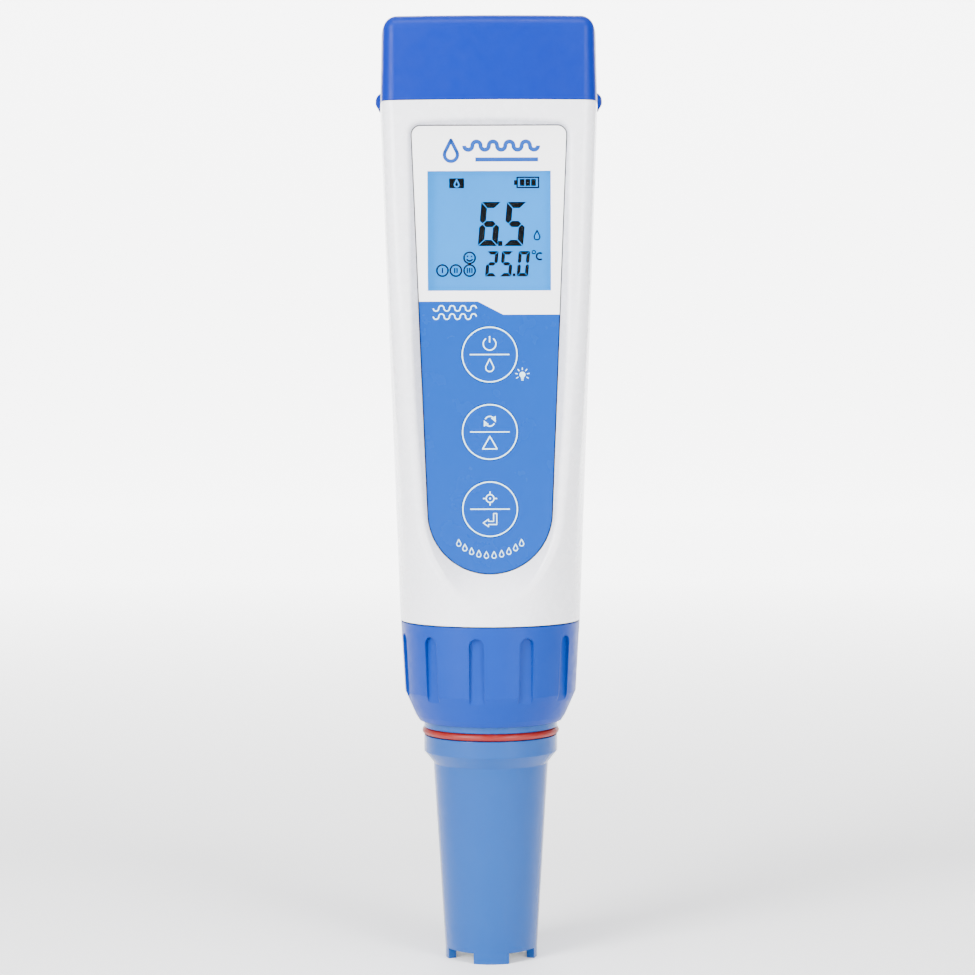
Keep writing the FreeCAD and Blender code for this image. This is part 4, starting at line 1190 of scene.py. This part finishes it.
@dataclass
class Display:
    """Lit display behind its window, with the reading, signs and battery gauge."""

    plane: LabelPlane
    slant: float = math.radians(5)
    blue: Colour = (0.0, 0.09, 0.28)
    sink: float = 1.545 * MM
    ink_thickness: float = 0.02 * MM
    glow: float = 5.0
    badge: Point = (-5.9 * MM, 71.15 * MM)
    badge_glow: float = 6.0
    big: Point = (3.6 * MM, 8.0 * MM)
    big_bar: float = 1.1 * MM
    big_foot: float = 59.75 * MM
    small: Point = (2.1 * MM, 4.6 * MM)
    small_bar: float = 0.62 * MM
    small_foot: float = 54.2 * MM
    unit_stroke: float = 0.24 * MM

    def dress(self) -> None:
        """Lights the display, glazes it and draws what it shows."""
        paler = tuple(0.95 * channel for channel in self.blue)
        lit = LitDisplay("display_blue", self.blue, paler, self.glow)
        dress(lit.material(), "lcd_glass")
        dress(ClearSheet("window_clear", (0.03, 0.04, 0.05), 0.04).material(), "display_window")
        page = Print("display_reading", self.plane)
        self.reading(page)
        self.gauge(page)
        self.signs(page)
        ink = Ink("display_black", (0.002, 0.0022, 0.003), 0.3, sheen=0.03).material()
        page.piece(-self.sink, self.ink_thickness, ink, "housing", "display_glass")
        drop = Print("display_badge_drop", self.plane)
        Signs(self.unit_stroke).draw(drop, Mark.DROP, self.badge, 0.65 * MM)
        light = Ink("badge_light", self.blue, 0.3, self.badge_glow, 0.05).material()
        drop.piece(self.ink_thickness * 1.5 - self.sink, self.ink_thickness, light, "housing",
                   "display_glass")

    def digit(self, page: Print, numeral: str, corner: Point, size: Point, bar: float) -> None:
        """Draws one seven-segment numeral.

        Args:
            page: Print that it goes on.
            numeral: Which numeral.
            corner: Its lower left corner.
            size: Its width and height.
            bar: Thickness of a segment.
        """
        wide, tall = size
        mid, gap, half = tall / 2, bar * 0.09, bar / 2
        side = [(0, tall - gap), (bar, tall - bar - gap), (bar, mid + half + gap),
                (half, mid + gap), (0, mid + half)]
        top = [(gap, tall), (wide - gap, tall), (wide - bar - gap, tall - bar),
               (bar + gap, tall - bar)]
        middle = [(half + gap, mid), (bar + gap, mid + half), (wide - bar - gap, mid + half),
                  (wide - half - gap, mid), (wide - bar - gap, mid - half),
                  (bar + gap, mid - half)]
        outlines = {
            "a": top, "g": middle, "f": side,
            "b": [(wide - x, y) for x, y in side], "e": [(x, tall - y) for x, y in side],
            "c": [(wide - x, tall - y) for x, y in side], "d": [(x, tall - y) for x, y in top],
        }
        lean = math.tan(self.slant)
        for segment in NUMERALS[numeral]:
            page.shape([(corner[0] + x + y * lean, corner[1] + y)
                        for x, y in outlines[segment]])

    def reading(self, page: Print) -> None:
        """Draws the two readings and their units.

        Args:
            page: Print that they go on.
        """
        for numeral, left in (("6", -2.1 * MM), ("5", 2.55 * MM)):
            self.digit(page, numeral, (left, self.big_foot), self.big, self.big_bar)
        page.bar((2.0 * MM, self.big_foot + 0.45 * MM), (0.8 * MM, 0.9 * MM))
        for numeral, left in (("2", -0.8 * MM), ("5", 1.9 * MM), ("0", 4.95 * MM)):
            self.digit(page, numeral, (left, self.small_foot), self.small, self.small_bar)
        page.bar((4.5 * MM, self.small_foot + 0.28 * MM), (0.5 * MM, 0.56 * MM))
        # Degree sign with its unit, and a drop as the unit of the upper reading.
        page.arc((8.1 * MM, 58.6 * MM), 0.3 * MM, 0.22 * MM)
        page.arc((9.2 * MM, 57.85 * MM), 0.6 * MM, 0.32 * MM, math.radians(50),
                 math.radians(260))
        Signs(self.unit_stroke).draw(page, Mark.DROP, (8.7 * MM, 61.7 * MM), 0.85 * MM)

    def gauge(self, page: Print) -> None:
        """Draws the battery gauge with three full cells.

        Args:
            page: Print that it goes on.
        """
        left, right, low, high = 5.1 * MM, 9.0 * MM, 70.35 * MM, 72.2 * MM
        mid = (low + high) / 2
        frame_corners = [(left, low), (right, low), (right, high), (left, high)]
        page.line(frame_corners, 0.27 * MM, closed=True)
        page.bar((left - 0.35 * MM, mid), (0.45 * MM, 0.9 * MM))
        for step in range(3):
            page.bar((left + (0.92 + step * 1.03) * MM, mid), (0.86 * MM, 1.25 * MM))

    def signs(self, page: Print) -> None:
        """Draws the mode badge, the steady face and the three calibration points.

        Args:
            page: Print that they go on.
        """
        page.bar(self.badge, (2.7 * MM, 1.8 * MM))
        line, radius = 0.3 * MM, 1.02 * MM
        face = (-3.6 * MM, 57.6 * MM)
        page.arc(face, radius, line)
        page.arc(face, radius * 0.55, line, math.radians(200), math.radians(140))
        for side in (-1, 1):
            page.disc((face[0] + side * 0.36 * MM, face[1] + 0.26 * MM), 0.17 * MM)
        row, tally, pitch = 55.3 * MM, (0.25 * MM, 0.95 * MM), 0.42 * MM
        for count, across in enumerate((-8.55 * MM, -6.1 * MM, -3.6 * MM), start=1):
            page.arc((across, row), radius, line)
            for bar in range(count):
                offset = (bar - (count - 1) / 2) * pitch
                page.bar((across + offset, row), tally)


# ------------------------------------------------------------------ studio


@dataclass(frozen=True)
class SoftBox:
    """Rectangular studio light that faces the pen."""

    name: str
    place: tuple[float, float, float]
    size: Point
    power: float

    def build(self, target: Vector) -> None:
        """Adds the light.

        Args:
            target: What it faces.
        """
        light = bpy.data.lights.new(self.name, "AREA")
        light.shape = "RECTANGLE"
        light.size, light.size_y = self.size
        light.energy = self.power
        lamp = bpy.data.objects.new(self.name, light)
        lamp.location = Vector(self.place)
        lamp.rotation_euler = (target - lamp.location).to_track_quat("-Z", "Y").to_euler()
        bpy.context.scene.collection.objects.link(lamp)


@dataclass
class Studio:
    """Pale sweep, soft lights and the camera."""

    distance: float = 0.480
    eye_height: float = 0.1077
    sideways: float = -0.0004
    roll: float = math.radians(-0.18)
    lens: float = 94.46
    shift: float = -0.1099
    sensor: float = 36.0
    nearest: float = 0.01
    air: float = 0.5
    aim: tuple[float, float, float] = (0.0, 0.0, 0.1)
    boxes: tuple[SoftBox, ...] = (
        SoftBox("front_left", (-0.5, -0.55, 0.35), (0.3, 0.6), 14.0),
        SoftBox("front_right", (0.45, -0.6, 0.3), (0.25, 0.6), 7.0),
        SoftBox("overhead", (0.0, -0.25, 0.8), (0.7, 0.3), 7.0),
    )
    sweep_front: float = -2.5
    sweep_depth: float = 1.6
    sweep_radius: float = 0.5
    sweep_half_width: float = 3.0
    sweep_top: float = 3.0
    sweep_steps: int = 16

    def build(self) -> None:
        """Builds the sweep, the lights and the camera."""
        self.backdrop()
        self.lights()
        self.camera()

    def backdrop(self) -> None:
        """Floor that curves up into a wall."""
        mesh = bmesh.new()
        side = -self.sweep_half_width
        front = mesh.verts.new((side, self.sweep_front, 0))
        far = mesh.verts.new((side, self.sweep_depth, 0))
        bend = bmesh.ops.spin(mesh, geom=[far], cent=(side, self.sweep_depth, self.sweep_radius),
                              axis=(1, 0, 0), angle=math.pi / 2, steps=self.sweep_steps)
        last = next(item for item in bend["geom_last"] if isinstance(item, bmesh.types.BMVert))
        top = mesh.verts.new((side, last.co.y, self.sweep_top))
        mesh.edges.new((front, far))
        mesh.edges.new((last, top))
        sheet = bmesh.ops.extrude_edge_only(mesh, edges=list(mesh.edges))
        moved = [item for item in sheet["geom"] if isinstance(item, bmesh.types.BMVert)]
        bmesh.ops.translate(mesh, verts=moved, vec=(-2 * side, 0, 0))
        bmesh.ops.recalc_face_normals(mesh, faces=list(mesh.faces))
        data = bpy.data.meshes.new("sweep")
        mesh.to_mesh(data)
        mesh.free()
        data.materials.append(Backdrop("studio_paper", (0.93, 0.93, 0.94)).material())
        for polygon in data.polygons:
            polygon.use_smooth = True
        floor = bpy.data.objects.new("sweep", data)
        bpy.context.scene.collection.objects.link(floor)

    def lights(self) -> None:
        """Bright even surroundings, with soft boxes at both sides of the front and above."""
        world = bpy.data.worlds.new("studio_air")
        world.use_nodes = True
        air = world.node_tree.nodes["Background"]
        air.inputs["Color"].default_value = (1.0, 1.0, 1.0, 1.0)
        air.inputs["Strength"].default_value = self.air
        bpy.context.scene.world = world
        for box in self.boxes:
            box.build(Vector(self.aim))

    def camera(self) -> None:
        """Adds the camera."""
        data = bpy.data.cameras.new("view")
        data.sensor_width = self.sensor
        data.lens = self.lens
        data.shift_y = self.shift
        data.clip_start = self.nearest
        eye = bpy.data.objects.new("view", data)
        eye.location = Vector((self.sideways, -self.distance, self.eye_height))
        eye.rotation_euler = (math.pi / 2, 0.0, 0.0)
        eye.rotation_euler.rotate_axis("Z", self.roll)
        bpy.context.scene.collection.objects.link(eye)
        bpy.context.scene.camera = eye


def main() -> None:
    """Builds and dresses every part of the pen in order."""
    logging.basicConfig(level=logging.INFO, format="%(name)s: %(message)s")
    plane = LabelPlane()
    for part in (Housing(), Collar(), Probe(), Inside(), Legends(plane), Display(plane)):
        log.info("making %s", type(part).__name__)
        part.dress()
    Studio().build()


if __name__ == "__main__":
    main()
